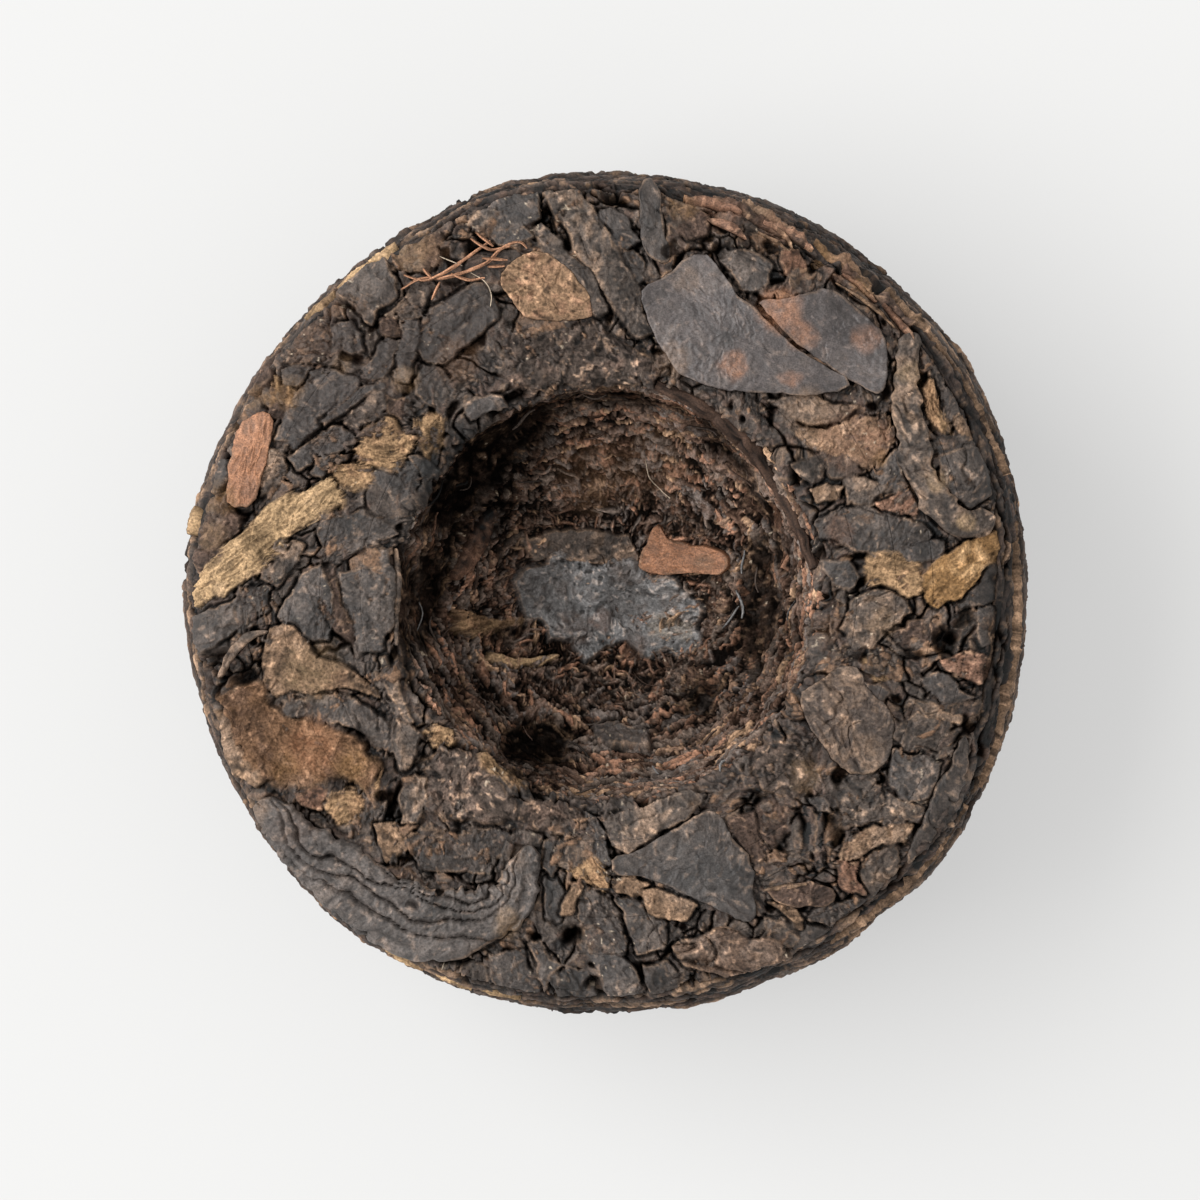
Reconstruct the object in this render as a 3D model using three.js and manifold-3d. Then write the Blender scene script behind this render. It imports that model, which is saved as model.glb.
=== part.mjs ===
// A mini tuocha: a small nest of pressed dark tea leaf, lying hollow side up.
// Millimetres, +Z up. The origin is the centre of the small flat spot that it rests on.
import * as THREE from "three";
import { mergeVertices } from "three/addons/utils/BufferGeometryUtils.js";
import Module from "manifold-3d";

// Driving dimensions of the pressed nest
const CAKE_DIAMETER = 30;
const CAKE_HEIGHT = 13;
const FOOT_DIAMETER = 11;
const FOOT_CLEARANCE = 0.02;
const WIDEST_HEIGHT = 8;
const SHOULDER_DRAFT = 0.5;
const SHOULDER_DROP = 0.9;
const FACE_DIAMETER = 26.8;
const LIP_DIAMETER = 14.4;
const LIP_ROUNDING = 0.8;
const HOLLOW_DEPTH = 6.4;

// How full the curves of the half section are, as shares of the sizes above
const CROWN_REACH = 0.76;
const BELLY_RISE = 0.4;
const SIDE_RISE = 0.85;
const LIP_LEAN = 0.2;
const WALL_REACH = 0.92;
const WALL_RISE = 0.3;
const FLOOR_REACH = 0.64;

// How far the hand-filled mould leaves the nest out of true
const OUT_OF_ROUND = 0.16;
const LUMP_HEIGHT = 0.13;
const LUMP_LENGTH = 4.2;
const WORN_SHOULDER_DROP = 0.75;
const WORN_SHOULDER_START = 12.2;
const WORN_SHOULDER_AZIMUTH = 8;

// Fineness of the core and of the leaves on it
const CORE_SEGMENTS = 36;
const PROFILE_STEPS = 32;
const LEAF_STEPS = 3;
const LEAF_ROWS = 2;

// Slivers thinner than this, left where the leaves meet, are taken out of the fused surface
const SLIVER_HEIGHT = 0.02;

// A leaf stands this far out of the core, tips and waves by this much, and is rooted this deep
const LEAF_STAND = [0.18, 0.4];
const LEAF_TIP = 0.16;
const LEAF_WAVE = 0.07;
const LEAF_ROOT = 0.5;

// A leaf's outline and back: width left at its ends, where it is widest, how skew it is,
// how far its back is rounded from edge to edge, and how fast its wave turns along and across
const BLADE_END = 0.35;
const BLADE_WIDEST = 0.06;
const BLADE_SKEW = 0.3;
const BLADE_ROUNDING = 1.2;
const WAVE_ALONG = 7;
const WAVE_ACROSS = 3;

// Leaves laid along the mould's wall, in rings from the crown up the side, then down the hollow:
// how far along the half section, as a share of its length, and how many
const WALL_RINGS = [
  { share: 0.235, count: 8 },
  { share: 0.31, count: 10 },
  { share: 0.385, count: 12 },
  { share: 0.46, count: 12 },
  { share: 0.535, count: 12 },
  { share: 0.82, count: 6 },
];
const WALL_LEAF = { length: [3.2, 6.0], width: [1.3, 2.7], turnSpread: 35 };

// Chips that fill the face between its larger leaves, spread on a sunflower's spiral
const CHIP_COUNT = 40;
const CHIP = { length: [1.6, 3.2], width: [1.0, 1.8] };
const CHIP_CLEARANCE = 0.42;
const GOLDEN_ANGLE = Math.PI * (3 - Math.sqrt(5));
const SEED = 20;

const LEAF_COLOUR = 0x574a41;
const LEAF_ROUGHNESS = 0.7;

// The leaves that show on the face and in the hollow: place, length, width, turn from +X in
// degrees, and how far the ends of a bent one curve to the left of the leaf's own direction.
const FACE_LEAVES = [
  { name: "broad_fold_left", at: [4.4, 9.3], length: 8.2, width: 4.0, turn: -28, bend: 0.5 },
  { name: "broad_fold_right", at: [7.5, 8.9], length: 5.2, width: 3.2, turn: -25 },
  { name: "curved_strip", at: [10.7, 5.4], length: 8.2, width: 1.4, turn: -66, bend: 1.1 },
  { name: "rust_leaf", at: [8.0, 5.8], length: 3.9, width: 2.0, turn: -15 },
  { name: "long_dark_leaf", at: [9.3, 2.1], length: 4.2, width: 1.6, turn: -8 },
  { name: "golden_leaf", at: [12.2, 0.6], length: 4.2, width: 1.6, turn: 32 },
  { name: "flat_brown_leaf", at: [8.5, -4.2], length: 4.0, width: 3.4, turn: 75 },
  { name: "edge_twig", at: [11.4, -7.0], length: 6.4, width: 1.0, turn: 70, bend: 0.45 },
  { name: "slate_wedge", at: [2.8, -10.0], length: 6.4, width: 3.8, turn: -28 },
  { name: "ridged_leaf", at: [4.3, -12.5], length: 4.4, width: 1.5, turn: -4 },
  { name: "wrinkled_leaf", at: [-6.8, -10.5], length: 9.6, width: 3.0, turn: -18, bend: 1.8 },
  { name: "pale_lobe", at: [-2.9, -10.0], length: 3.2, width: 1.7, turn: 68 },
  { name: "folded_dark_strip", at: [-8.6, -4.5], length: 5.0, width: 1.4, turn: -28 },
  { name: "fibrous_stalk", at: [-11.8, 1.5], length: 6.4, width: 1.4, turn: 38 },
  { name: "stalk_tuft", at: [-7.9, 5.1], length: 3.2, width: 1.5, turn: 25 },
  { name: "slate_block", at: [-8.7, -0.5], length: 2.8, width: 2.3, turn: 80 },
  { name: "red_leaf", at: [-12.4, 4.5], length: 3.8, width: 1.3, turn: 80 },
  { name: "long_slate_leaf", at: [-9.6, 7.0], length: 4.8, width: 2.2, turn: 52 },
  { name: "tan_square", at: [-2.2, 10.8], length: 3.0, width: 2.5, turn: -15 },
  { name: "grey_stalk", at: [-0.4, 11.2], length: 6.0, width: 1.7, turn: -60 },
  { name: "dark_patch", at: [-5.8, 9.5], length: 3.4, width: 3.0, turn: 40 },
  { name: "bottom_curl", at: [-0.4, -11.6], length: 3.2, width: 1.6, turn: -70 },
  { name: "hollow_slate", at: [-0.2, -0.2], length: 6.6, width: 3.6, turn: -8 },
  { name: "hollow_rust", at: [2.6, 1.9], length: 3.2, width: 1.5, turn: -14 },
];

const wasm = await Module();
wasm.setup();

// A repeatable stream of random numbers from 0 to 1.
function randomStream(seed) {
  let state = seed;
  return () => {
    state = (state + 0x6d2b79f5) | 0;
    let mixed = Math.imul(state ^ (state >>> 15), 1 | state);
    mixed = (mixed + Math.imul(mixed ^ (mixed >>> 7), 61 | mixed)) ^ mixed;
    return ((mixed ^ (mixed >>> 14)) >>> 0) / 4294967296;
  };
}

const random = randomStream(SEED);
const between = ([low, high]) => low + (high - low) * random();

// The half section, from the foot's centre over the side, shoulder and face to the hollow's centre.
function cakeProfile() {
  const radius = CAKE_DIAMETER / 2;
  const foot = FOOT_DIAMETER / 2;
  const face = FACE_DIAMETER / 2;
  const lip = LIP_DIAMETER / 2;
  const floor = CAKE_HEIGHT - HOLLOW_DEPTH;
  const wall = floor + WALL_RISE * HOLLOW_DEPTH;
  const shoulder = CAKE_HEIGHT - SHOULDER_DROP;
  const section = new THREE.Path();
  section.moveTo(0, 0);
  section.lineTo(foot, 0);
  section.bezierCurveTo(CROWN_REACH * radius, 0, radius, BELLY_RISE * WIDEST_HEIGHT, radius, WIDEST_HEIGHT);
  section.quadraticCurveTo(radius, SIDE_RISE * shoulder, radius - SHOULDER_DRAFT, shoulder);
  section.quadraticCurveTo(radius - SHOULDER_DRAFT, CAKE_HEIGHT, face, CAKE_HEIGHT);
  section.lineTo(lip + LIP_ROUNDING, CAKE_HEIGHT);
  section.quadraticCurveTo(lip, CAKE_HEIGHT, lip - LIP_LEAN * LIP_ROUNDING, CAKE_HEIGHT - LIP_ROUNDING);
  section.bezierCurveTo(WALL_REACH * lip, wall, FLOOR_REACH * lip, floor, 0, floor);
  return section.getSpacedPoints(PROFILE_STEPS);
}

const profile = cakeProfile();

// The profile's outward normal at each of its points.
const profileNormals = profile.map((_, i) => {
  const before = profile[Math.max(i - 1, 0)];
  const after = profile[Math.min(i + 1, profile.length - 1)];
  const along = after.clone().sub(before);
  return new THREE.Vector2(along.y, -along.x).normalize();
});

// The nearest point of the ideal surface to a point in space, with the normal there.
function nearestOnSurface(point) {
  const radius = Math.hypot(point.x, point.y);
  const target = new THREE.Vector2(radius, point.z);
  let best = { distance: Infinity };
  for (let i = 0; i + 1 < profile.length; i++) {
    const step = profile[i + 1].clone().sub(profile[i]);
    const along = target.clone().sub(profile[i]).dot(step) / step.lengthSq();
    const share = THREE.MathUtils.clamp(along, 0, 1);
    const near = profile[i].clone().addScaledVector(step, share);
    const distance = near.distanceTo(target);
    if (distance < best.distance) best = { distance, near, index: i, share };
  }
  const normal = profileNormals[best.index].clone().lerp(profileNormals[best.index + 1], best.share);
  normal.normalize();
  const azimuth = Math.atan2(point.y, point.x);
  const outward = new THREE.Vector3(Math.cos(azimuth), Math.sin(azimuth), 0);
  return {
    point: outward.clone().multiplyScalar(best.near.x).setZ(best.near.y),
    normal: outward.clone().multiplyScalar(normal.x).setZ(normal.y),
  };
}

// Phases of the lobes and lumps, drawn once.
const lobes = [2, 3, 5].map((count) => ({ count, phase: 2 * Math.PI * random() }));
const lumps = Array.from({ length: 7 }, () => ({
  wave: new THREE.Vector3(random() - 0.5, random() - 0.5, random() - 0.5).setLength(
    (2 * Math.PI) / LUMP_LENGTH,
  ),
  phase: 2 * Math.PI * random(),
}));

// Moves a point of the true shape to where the pressed leaf really lies: slightly out of round,
// lumpy, and worn down along one stretch of the shoulder. The foot stays flat.
function settle(point) {
  const radius = Math.hypot(point.x, point.y);
  const azimuth = Math.atan2(point.y, point.x);
  const rim = radius / (CAKE_DIAMETER / 2);
  const lobed = lobes.reduce((sum, { count, phase }) => sum + Math.cos(count * azimuth + phase), 0);
  const lumpy = lumps.reduce((sum, { wave, phase }) => sum + Math.sin(wave.dot(point) + phase), 0);
  const spread = 1 + (OUT_OF_ROUND * lobed * rim) / CAKE_DIAMETER;
  const aboveFoot = THREE.MathUtils.smoothstep(point.z, 0, 1);
  const turn = azimuth - THREE.MathUtils.degToRad(WORN_SHOULDER_AZIMUTH);
  const facing = Math.max(0, Math.cos(turn));
  const high = THREE.MathUtils.smoothstep(point.z, WIDEST_HEIGHT, CAKE_HEIGHT);
  const outer = THREE.MathUtils.smoothstep(radius, WORN_SHOULDER_START, CAKE_DIAMETER / 2);
  const worn = WORN_SHOULDER_DROP * facing * high * outer;
  const lift = aboveFoot * ((LUMP_HEIGHT * lumpy) / Math.sqrt(lumps.length) - worn);
  return new THREE.Vector3(point.x * spread, point.y * spread, point.z + lift);
}

// Replaces every vertex of a closed, merged geometry by move(vertex).
function reshape(geometry, move) {
  geometry.deleteAttribute("normal");
  geometry.deleteAttribute("uv");
  const merged = mergeVertices(geometry, 1e-4);
  const position = merged.getAttribute("position");
  const vertex = new THREE.Vector3();
  for (let i = 0; i < position.count; i++) {
    vertex.fromBufferAttribute(position, i);
    position.setXYZ(i, ...move(vertex));
  }
  return merged;
}

// A closed, merged geometry as a solid that can be joined to others.
function solidFrom(geometry) {
  return new wasm.Manifold(
    new wasm.Mesh({
      numProp: 3,
      vertProperties: new Float32Array(geometry.getAttribute("position").array),
      triVerts: new Uint32Array(geometry.index.array),
    }),
  );
}

// The nest itself, before any leaf stands out of it.
function coreSolid() {
  const turned = new THREE.LatheGeometry(profile, CORE_SEGMENTS);
  turned.rotateX(Math.PI / 2);
  return solidFrom(reshape(turned, (vertex) => settle(vertex)));
}

// A leaf's half width along it, as a share: blunt at both ends, widest just before its middle.
function bladeShare(along) {
  return BLADE_END + (1 - BLADE_END) * Math.abs(Math.cos(Math.PI * (along + BLADE_WIDEST)));
}

// A thin wavy leaf that follows the surface round a centre, along the direction given there.
function leafSolid({ length, width, bend = 0 }, centre, direction, across) {
  const phase = 2 * Math.PI * random();
  const stand = between(LEAF_STAND);
  const tip = between([-LEAF_TIP, LEAF_TIP]);
  const skew = between([-BLADE_SKEW, BLADE_SKEW]);
  const flat = new THREE.BoxGeometry(1, 1, 1, LEAF_STEPS, LEAF_ROWS, 1);
  const leaf = reshape(flat, ({ x, y, z }) => {
    const along = (x + skew * y * (width / length)) * length;
    const side = y * width * bladeShare(x) + 4 * bend * x * x;
    const spot = centre.clone().addScaledVector(direction, along).addScaledVector(across, side);
    const { point, normal } = nearestOnSurface(spot);
    const back = stand * (1 - BLADE_ROUNDING * y * y) + tip * 2 * y;
    const wave = LEAF_WAVE * Math.sin(WAVE_ALONG * x + WAVE_ACROSS * y + phase);
    const height = z > 0 ? back + wave : -LEAF_ROOT;
    const laid = settle(point.addScaledVector(normal, height));
    return laid.setZ(Math.max(laid.z, FOOT_CLEARANCE));
  });
  return solidFrom(leaf);
}

// A leaf on the face or in the hollow, placed as seen from above.
function faceLeaf(leaf) {
  const [x, y] = leaf.at;
  const inHollow = Math.hypot(x, y) < LIP_DIAMETER / 2;
  const level = inHollow ? CAKE_HEIGHT - HOLLOW_DEPTH : CAKE_HEIGHT;
  const turn = THREE.MathUtils.degToRad(leaf.turn);
  const direction = new THREE.Vector3(Math.cos(turn), Math.sin(turn), 0);
  const across = new THREE.Vector3(-Math.sin(turn), Math.cos(turn), 0);
  return leafSolid(leaf, new THREE.Vector3(x, y, level), direction, across);
}

// Chips over the whole face, without those that would lie on one of its larger leaves.
function faceChips() {
  const inner = LIP_DIAMETER / 2 + LIP_ROUNDING;
  const outer = FACE_DIAMETER / 2;
  const spots = Array.from({ length: CHIP_COUNT }, (_, i) => {
    const radius = Math.sqrt(THREE.MathUtils.lerp(inner ** 2, outer ** 2, (i + 0.5) / CHIP_COUNT));
    return [radius * Math.cos(i * GOLDEN_ANGLE), radius * Math.sin(i * GOLDEN_ANGLE)];
  });
  const covered = ([x, y]) =>
    FACE_LEAVES.some(({ at, length, width }) =>
      Math.hypot(at[0] - x, at[1] - y) < CHIP_CLEARANCE * Math.sqrt(length * width),
    );
  return spots
    .filter((at) => !covered(at))
    .map((at) => ({ at, length: between(CHIP.length), width: between(CHIP.width), turn: 360 * random() }));
}

// A leaf on the side, the crown or the hollow's wall, roughly along the way round.
function wallLeaf(share, azimuth) {
  const section = profile[Math.round(share * PROFILE_STEPS)];
  const outward = new THREE.Vector3(Math.cos(azimuth), Math.sin(azimuth), 0);
  const { point, normal } = nearestOnSurface(outward.multiplyScalar(section.x).setZ(section.y));
  const round = new THREE.Vector3(-Math.sin(azimuth), Math.cos(azimuth), 0);
  const spread = WALL_LEAF.turnSpread;
  const turn = THREE.MathUtils.degToRad(between([-spread, spread]));
  const direction = round.applyAxisAngle(normal, turn);
  const across = normal.clone().cross(direction);
  const size = { length: between(WALL_LEAF.length), width: between(WALL_LEAF.width) };
  return leafSolid(size, point, direction, across);
}

// Every leaf on the walls, ring by ring, each ring turned half a step against the one before.
function wallLeaves() {
  return WALL_RINGS.flatMap(({ share, count }, ring) =>
    Array.from({ length: count }, (_, i) => wallLeaf(share, (2 * Math.PI * (i + ring / 2)) / count)),
  );
}

// The finished nest as one closed mesh, centred over its foot.
function cakeMesh() {
  const leaves = [...[...FACE_LEAVES, ...faceChips()].map(faceLeaf), ...wallLeaves()];
  const fused = wasm.Manifold.union([coreSolid(), ...leaves]).simplify(SLIVER_HEIGHT).getMesh();
  const geometry = new THREE.BufferGeometry();
  geometry.setAttribute("position", new THREE.BufferAttribute(fused.vertProperties, 3));
  geometry.setIndex(new THREE.BufferAttribute(fused.triVerts, 1));
  geometry.computeBoundingBox();
  const middle = geometry.boundingBox.getCenter(new THREE.Vector3());
  geometry.translate(-middle.x, -middle.y, 0);
  const material = new THREE.MeshStandardMaterial({
    color: LEAF_COLOUR,
    roughness: LEAF_ROUGHNESS,
    metalness: 0,
    flatShading: true,
  });
  const mesh = new THREE.Mesh(geometry, material);
  mesh.name = "tea_cake";
  return mesh;
}

const tuocha = new THREE.Group();
tuocha.add(cakeMesh());

export default tuocha;
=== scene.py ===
"""Dresses the pressed core of the mini tuocha with its leaves and sets the stage it is shown on."""

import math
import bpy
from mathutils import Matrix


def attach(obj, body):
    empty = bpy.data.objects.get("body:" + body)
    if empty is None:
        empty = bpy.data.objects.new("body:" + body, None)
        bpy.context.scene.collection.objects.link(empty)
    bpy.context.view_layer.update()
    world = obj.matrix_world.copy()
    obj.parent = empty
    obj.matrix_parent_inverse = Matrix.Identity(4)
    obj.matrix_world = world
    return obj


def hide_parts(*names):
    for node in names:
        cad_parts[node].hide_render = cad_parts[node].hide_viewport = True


bl_info = {
    "name": "Mini tuocha",
    "version": (1, 0, 0),
    "blender": (4, 5, 0),
    "location": "3D View > Sidebar > Tuocha",
    "description": "Presses a nest of tea from torn leaf and lays leaves, stalks, rootlets and shreds on it",
    "category": "Object",
}

from typing import NamedTuple

import bpy
import numpy as np
from mathutils import Vector

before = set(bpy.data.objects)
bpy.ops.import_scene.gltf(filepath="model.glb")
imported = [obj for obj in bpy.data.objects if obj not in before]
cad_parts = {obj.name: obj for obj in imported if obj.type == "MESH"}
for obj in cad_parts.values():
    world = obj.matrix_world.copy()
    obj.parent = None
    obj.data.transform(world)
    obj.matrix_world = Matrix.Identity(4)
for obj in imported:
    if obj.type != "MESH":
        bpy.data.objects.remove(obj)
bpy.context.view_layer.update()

MM = 0.001
BODY = "root"
NODE = "tea_cake"

# The half section's curves, as shares of the nest's sizes, as in the solid
CROWN_REACH = 0.76
BELLY_RISE = 0.4
SIDE_RISE = 0.85
LIP_LEAN = 0.2
WALL_REACH = 0.92
WALL_RISE = 0.3
FLOOR_REACH = 0.64

# Up to this far from the shoulder, in mm, a place is found by its radius, and beyond it by this slope
MAP_MARGIN = 0.3
MAP_SLOPE = 1.6
# Dents and holes reach this far past there, in mm
SINK_REACH = 1

# How far the hand-filled mould leaves the nest out of true and its shoulder is worn, in mm, as in the solid
OUT_OF_ROUND = 0.16
LOBES = (2, 3, 5)
LUMP_COUNT = 7
LUMP_HEIGHT = 0.13
LUMP_LENGTH = 4.2
WORN_DROP = 0.75
WORN_START = 12.2
WORN_AZIMUTH = math.radians(8)
SOLID_SEED = 20

# Fineness of the meshes, in mm
SECTION_STEP = 0.02
LEAF_STEP = 0.05
BAND_STEP = 0.3
BACK_DEPTH = 0.9
BACK_RINGS = 6
POLE_RADIUS = 0.5
POLE_GAP = 0.2

# Torn edges: the sizes of their waves in mm, and how far a wave strays as a share of its size
FILL_TEARS = (1.3, 0.5, 0.2)
LEAF_TEARS = (0.7, 0.28, 0.11)
CRISP_TEARS = (0.5, 0.2, 0.1)
TANGLE_TEARS = (1.1, 0.4)
LEAF_SWAY = (1.2, 0.45, 0.15)
FIBRE_SWAY = (0.8, 0.3)
TEAR = 0.2
CRISP_TEAR = 0.11
TANGLE_TEAR = 0.3
HOLE_TEAR = 0.35

# Seeds of what is drawn at random
TEAR_SEED = 301
GAP_SEED = 77
STAIN_AND_LIGHT_SEED = 205
GLINT_SEED = 401
HOLE_SEED = 503
RIM_SEED = 71
FACE_SEED = 40
SIDE_SEED = 60
WALL_SEED = 80
FLOOR_SEED = 90
SWELL_SEED = 3
THREAD_SEED = 8
FLUSH_SEED = 11
STANDING_SEED = 12
SHRED_SEED = 31

# Chips: how far their centres stray in shares of a cell, how far they turn in radians, how long, narrow and
# uneven they are, and how far apart in mm the patterns on them lie
CHIP_STRAY = 0.45
CHIP_TURN = 1.57
CHIP_LONG = 1.45
CHIP_NARROW = 1.2
CHIP_UNEVEN = 0.3
CHIP_APART = (31, 17)

# A thin line is at its darkest up to this share of its width
LINE_CORE = 0.15

# Packed leaf: the usual sizes of its chips and of the flakes on them, and how far they lift, in mm
BIG_CHIP = 1.5
SMALL_CHIP = 0.6
SMALL_CHIP_AREA = 1.7
CHIP_LIFT = 0.09
FLAKE = 0.26
FLAKE_LIFT = 0.03
FLAKE_SHADE = 0.25

# Its cracks, pits and splits: width and depth in mm, and how dark they are painted, as shade in them. A
# patch, also further down, has a size in mm, the values of the noise between which it opens and, if drawn
# out, how much longer it is.
CRACK_PATCH = (0.8, -0.5, 0.25)
CRACK_WIDTH = 0.06
CRACK_DEPTH = 0.26
CRACK_SHADE = 0.95
PIT_PATCH = (0.5, 0.55, 0.8)
PIT_DEPTH = 0.22
PIT_SHADE = 0.9
SPLIT_PATCH = (0.6, -0.2, 0.3)
SPLIT_EDGE = (0.01, 0.04)
SPLIT_DEPTH = 0.08
SPLIT_SHADE = 0.7

# Its grit: sizes and heights in mm, and how much it lightens or darkens the leaf
GRIT_SIZES = (0.3, 0.17, 0.09)
GRIT_HEIGHTS = (0.03, 0.03, 0.02)
GRIT_SHADES = (0.25, 0.25, 0.2)
# Shares of chips, flakes and grit in its tone
PACKED_TONES = (0.5, 0.2, 0.1)

# Its pale and dark wisps and pale fibres: width in mm, how much longer they are, and where they show
PALE_WISP = 0.2
PALE_WISP_SHOWS = (0.4, 0.8)
DARK_WISP = 0.22
DARK_WISP_SHOWS = (0.35, 0.7)
WISP_LENGTH = 2.5
WISP_GRIT = 0.4
WISP_SHARE = 0.5
PALE_FIBRE = (0.3, 0.14, 1.5)
PALE_FIBRE_PATCH = (0.5, 0.0, 0.3)

PACKED_GLOSS = 0.4
DARKEST = 0.05
DARKEST_PACKED = 0.03

# Strands in the hollow, in mm: depth of the gaps, width of their edges, the share of them that shows, how far
# they lie over each other and lift, and their streaks, patches and grit. The gaps are painted black and the
# edges darken towards them, as painted shade.
TANGLE_DEPTH = 0.22
TANGLE_EDGE = 0.07
TANGLE_FRAY = 0.02
TANGLE_SHARE = 0.55
TANGLE_SPREAD = 0.16
TANGLE_LIFT = 0.12
TANGLE_GRAIN = 0.03
TANGLE_STREAK = (0.09, 5)
TANGLE_SPOT = 0.2
TANGLE_GRIT = 0.1
TANGLE_SPOT_EDGE = (-0.25, 0.25)
TANGLE_SPOT_GRIT = 0.5
# Shares of a strand's own tone and grit in its colour, and of streaks, spots and grit in its shade. What is
# left of a multiple of its tone tells at random whether it shows.
TANGLE_TONES = (0.5, 0.06)
TANGLE_SHADES = (1, 0.4, 0.35, 0.2)
TANGLE_CHANCE = 7.3
# Width and length of the wall's strands in mm, and turn in radians, width and length of the floor's
WALL_STRANDS = ((0.34, 1.9), (0.26, 1.1), (0.4, 1.2), (0.2, 0.7))
FLOOR_STRANDS = ((0.3, 0.22, 0.9), (1.5, 0.15, 0.6), (2.6, 0.18, 0.5), (0.9, 0.13, 0.45))
# Between these radii the floor's strands give way to the wall's. Both swell by so much over this size, in mm,
# and are paler than other leaf, but less so towards the wall's lower right, where shade is painted on.
WALL_RADII = (3.2, 4.4)
SWELL = 0.15
SWELL_SIZE = 0.9
TANGLE_PALE = 2.0
WALL_SHADE_SHARE = 0.3
WALL_SHADE_AZIMUTH = -0.8

# A leaf's top, in mm: crumpled facets, broad waves, folds, creases, crinkles and fibres. Creases and the
# valleys between folds are painted dark as shade.
CRUMPLE = 0.4
CRUMPLE_LIFT = 0.03
CRUMPLE_SHADE = 0.2
WAVE_SIZE = 2.3
WAVE_HEIGHT = 0.09
FULL_WRINKLE = 0.12
FOLD_BEND = 2.5
FOLD_STRAY = 1.3
FOLD_PATCH = (0.9, -0.6, 0.0, 4)
FOLD_TOP = 0.7
VALLEY_WIDTH = 0.25
VALLEY_SHADE = 0.6
CREASE_SIZE = 0.5
CREASE_EDGE = (0.01, 0.09)
CREASE_SHOWS = (-0.1, 0.4)
CREASE_DEPTH = 0.12
CREASE_SHADE = 0.9
CRINKLE_SIZE = 0.22
CRINKLE_HEIGHT = 0.04
CRINKLE_SHADE = 0.3
FIBRE_SIZE = 0.17
FIBRE_LENGTH = 7
FIBRE_SLANTS = (0.18, -0.2, 0.02)
FIBRE_HEIGHT = 0.04
FIBRE_SHADE = 0.4
LEAF_GRIT = (0.15, 0.09)
LEAF_GRIT_HEIGHT = 0.015
CREASED_GRIT_HEIGHT = 0.012

# Its broad, middling and small patches of colour, pale specks that are partly flecks and partly painted
# highlights, and dark pits painted as the shade of fine relief: sizes in mm and where they show
LEAF_SPOTS = (1.6, 0.6, 0.24)
SPECK = 0.17
LEAF_PIT = 0.2
LEAF_PIT_SHADE = 0.7
DARKEST_LEAF_PIT = 0.2
SPECK_SHOWS = (0.4, 0.9)
SPECK_GRIT = 0.4
FLECK_SHOWS = (-0.1, 1.0)
# Shares of these patches and grit in its flecks and its shade, and of specks and the lit edge in its pale
# spots, which paint highlights
FLECK_PARTS = (0.6, 0.6, 0.8, 0.4)
FINE_PARTS = (0.25, 0.2, 0.35)
BROAD_SHADE = 0.2
PATCH_SHADE = 0.3
PALE_PARTS = (0.25, 0.5)
# Its pale edge, a painted highlight: how far in from the outline, and how wide, in mm
LIT_INSET = 0.05
LIT_EDGE = (0.02, 0.06)
LIT_PATCH = (0.7, -0.2, 0.4)

# A leaf's edge, over a sharp rounding: how far in from the outline and how far under the top, in mm. A small
# leaf keeps at least these shares of its width.
EDGE = ((0.05, 0.0), (0.02, 0.012), (0.0, 0.045))
LEAST_FLAT = 0.3
LEAST_EDGE = 0.35
ROOT_INSET = 0.04
ROOT_DEPTH = 0.5

# A strip: sizes of the waves of its edges in mm and their shares, how far these stray in mm or in shares of
# its width, how blunt its ends and how round its section are, and over which share of it it tapers
STRIP_WAVES = ((0.6, 1.0), (0.22, 0.8))
STRIP_STRAY = 0.2
STRIP_STRAY_SHARE = 0.12
STRIP_BLUNT = 0.3
STRIP_TIP = 0.02
STRIP_ROUND = 10
STRIP_BODY = 0.1
STRIP_BODY_SHARE = 0.3
STRIP_ROOT_SHARE = 0.9
TAPER_REACH = 0.4

# A flush leaf, in mm: how much larger it is drawn to close up with its neighbours, how far its fibres fray,
# how far it leans and bulges, so that neighbours cover part of its edge, and the gap round it, which is
# painted dark as shade
CLOSE_UP = 0.07
FRAY = 0.05
LEAN = 0.07
BULGE = 0.03
BULGE_WIDTH = 0.4
GAP_PATCH = (1.0, -0.25, 0.2)
GAP_EDGE = (0.03, 0.13)
GAP_DEPTH = 0.24
GAP_SHADE = 0.93
OVERLAP = 0.05
# A sunk leaf of the nearly black colour is painted shade: it covers this share of what lies under it
SHADE_COVER = 0.92
LEAF_MARGIN = 0.5

# Room under a leaf that stands up: how deep it is and how wide its slope, in mm
ROOM_DEPTH = 0.3
ROOM_EDGE = 0.1

# Painted glints: patches of tiny pale specks and of their clusters. Spots that are nearly black have none.
GLINT_CLUSTER = (2.2, 0.0, 0.4)
GLINT = (0.14, 0.82, 0.93)
GLINT_SHARE = 0.8
GLINT_DARK = (0.01, 0.03)

# The edge of a stain or of a patch of painted shade or highlight, as shares of its radius, the size of its
# speckles in mm, and how they change its strength
STAIN_AND_LIGHT_EDGE = (0.5, 1.1)
STAIN_AND_LIGHT_SPECKLE = 0.16
STAIN_AND_LIGHT_SHARES = (0.8, 0.4)

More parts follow.
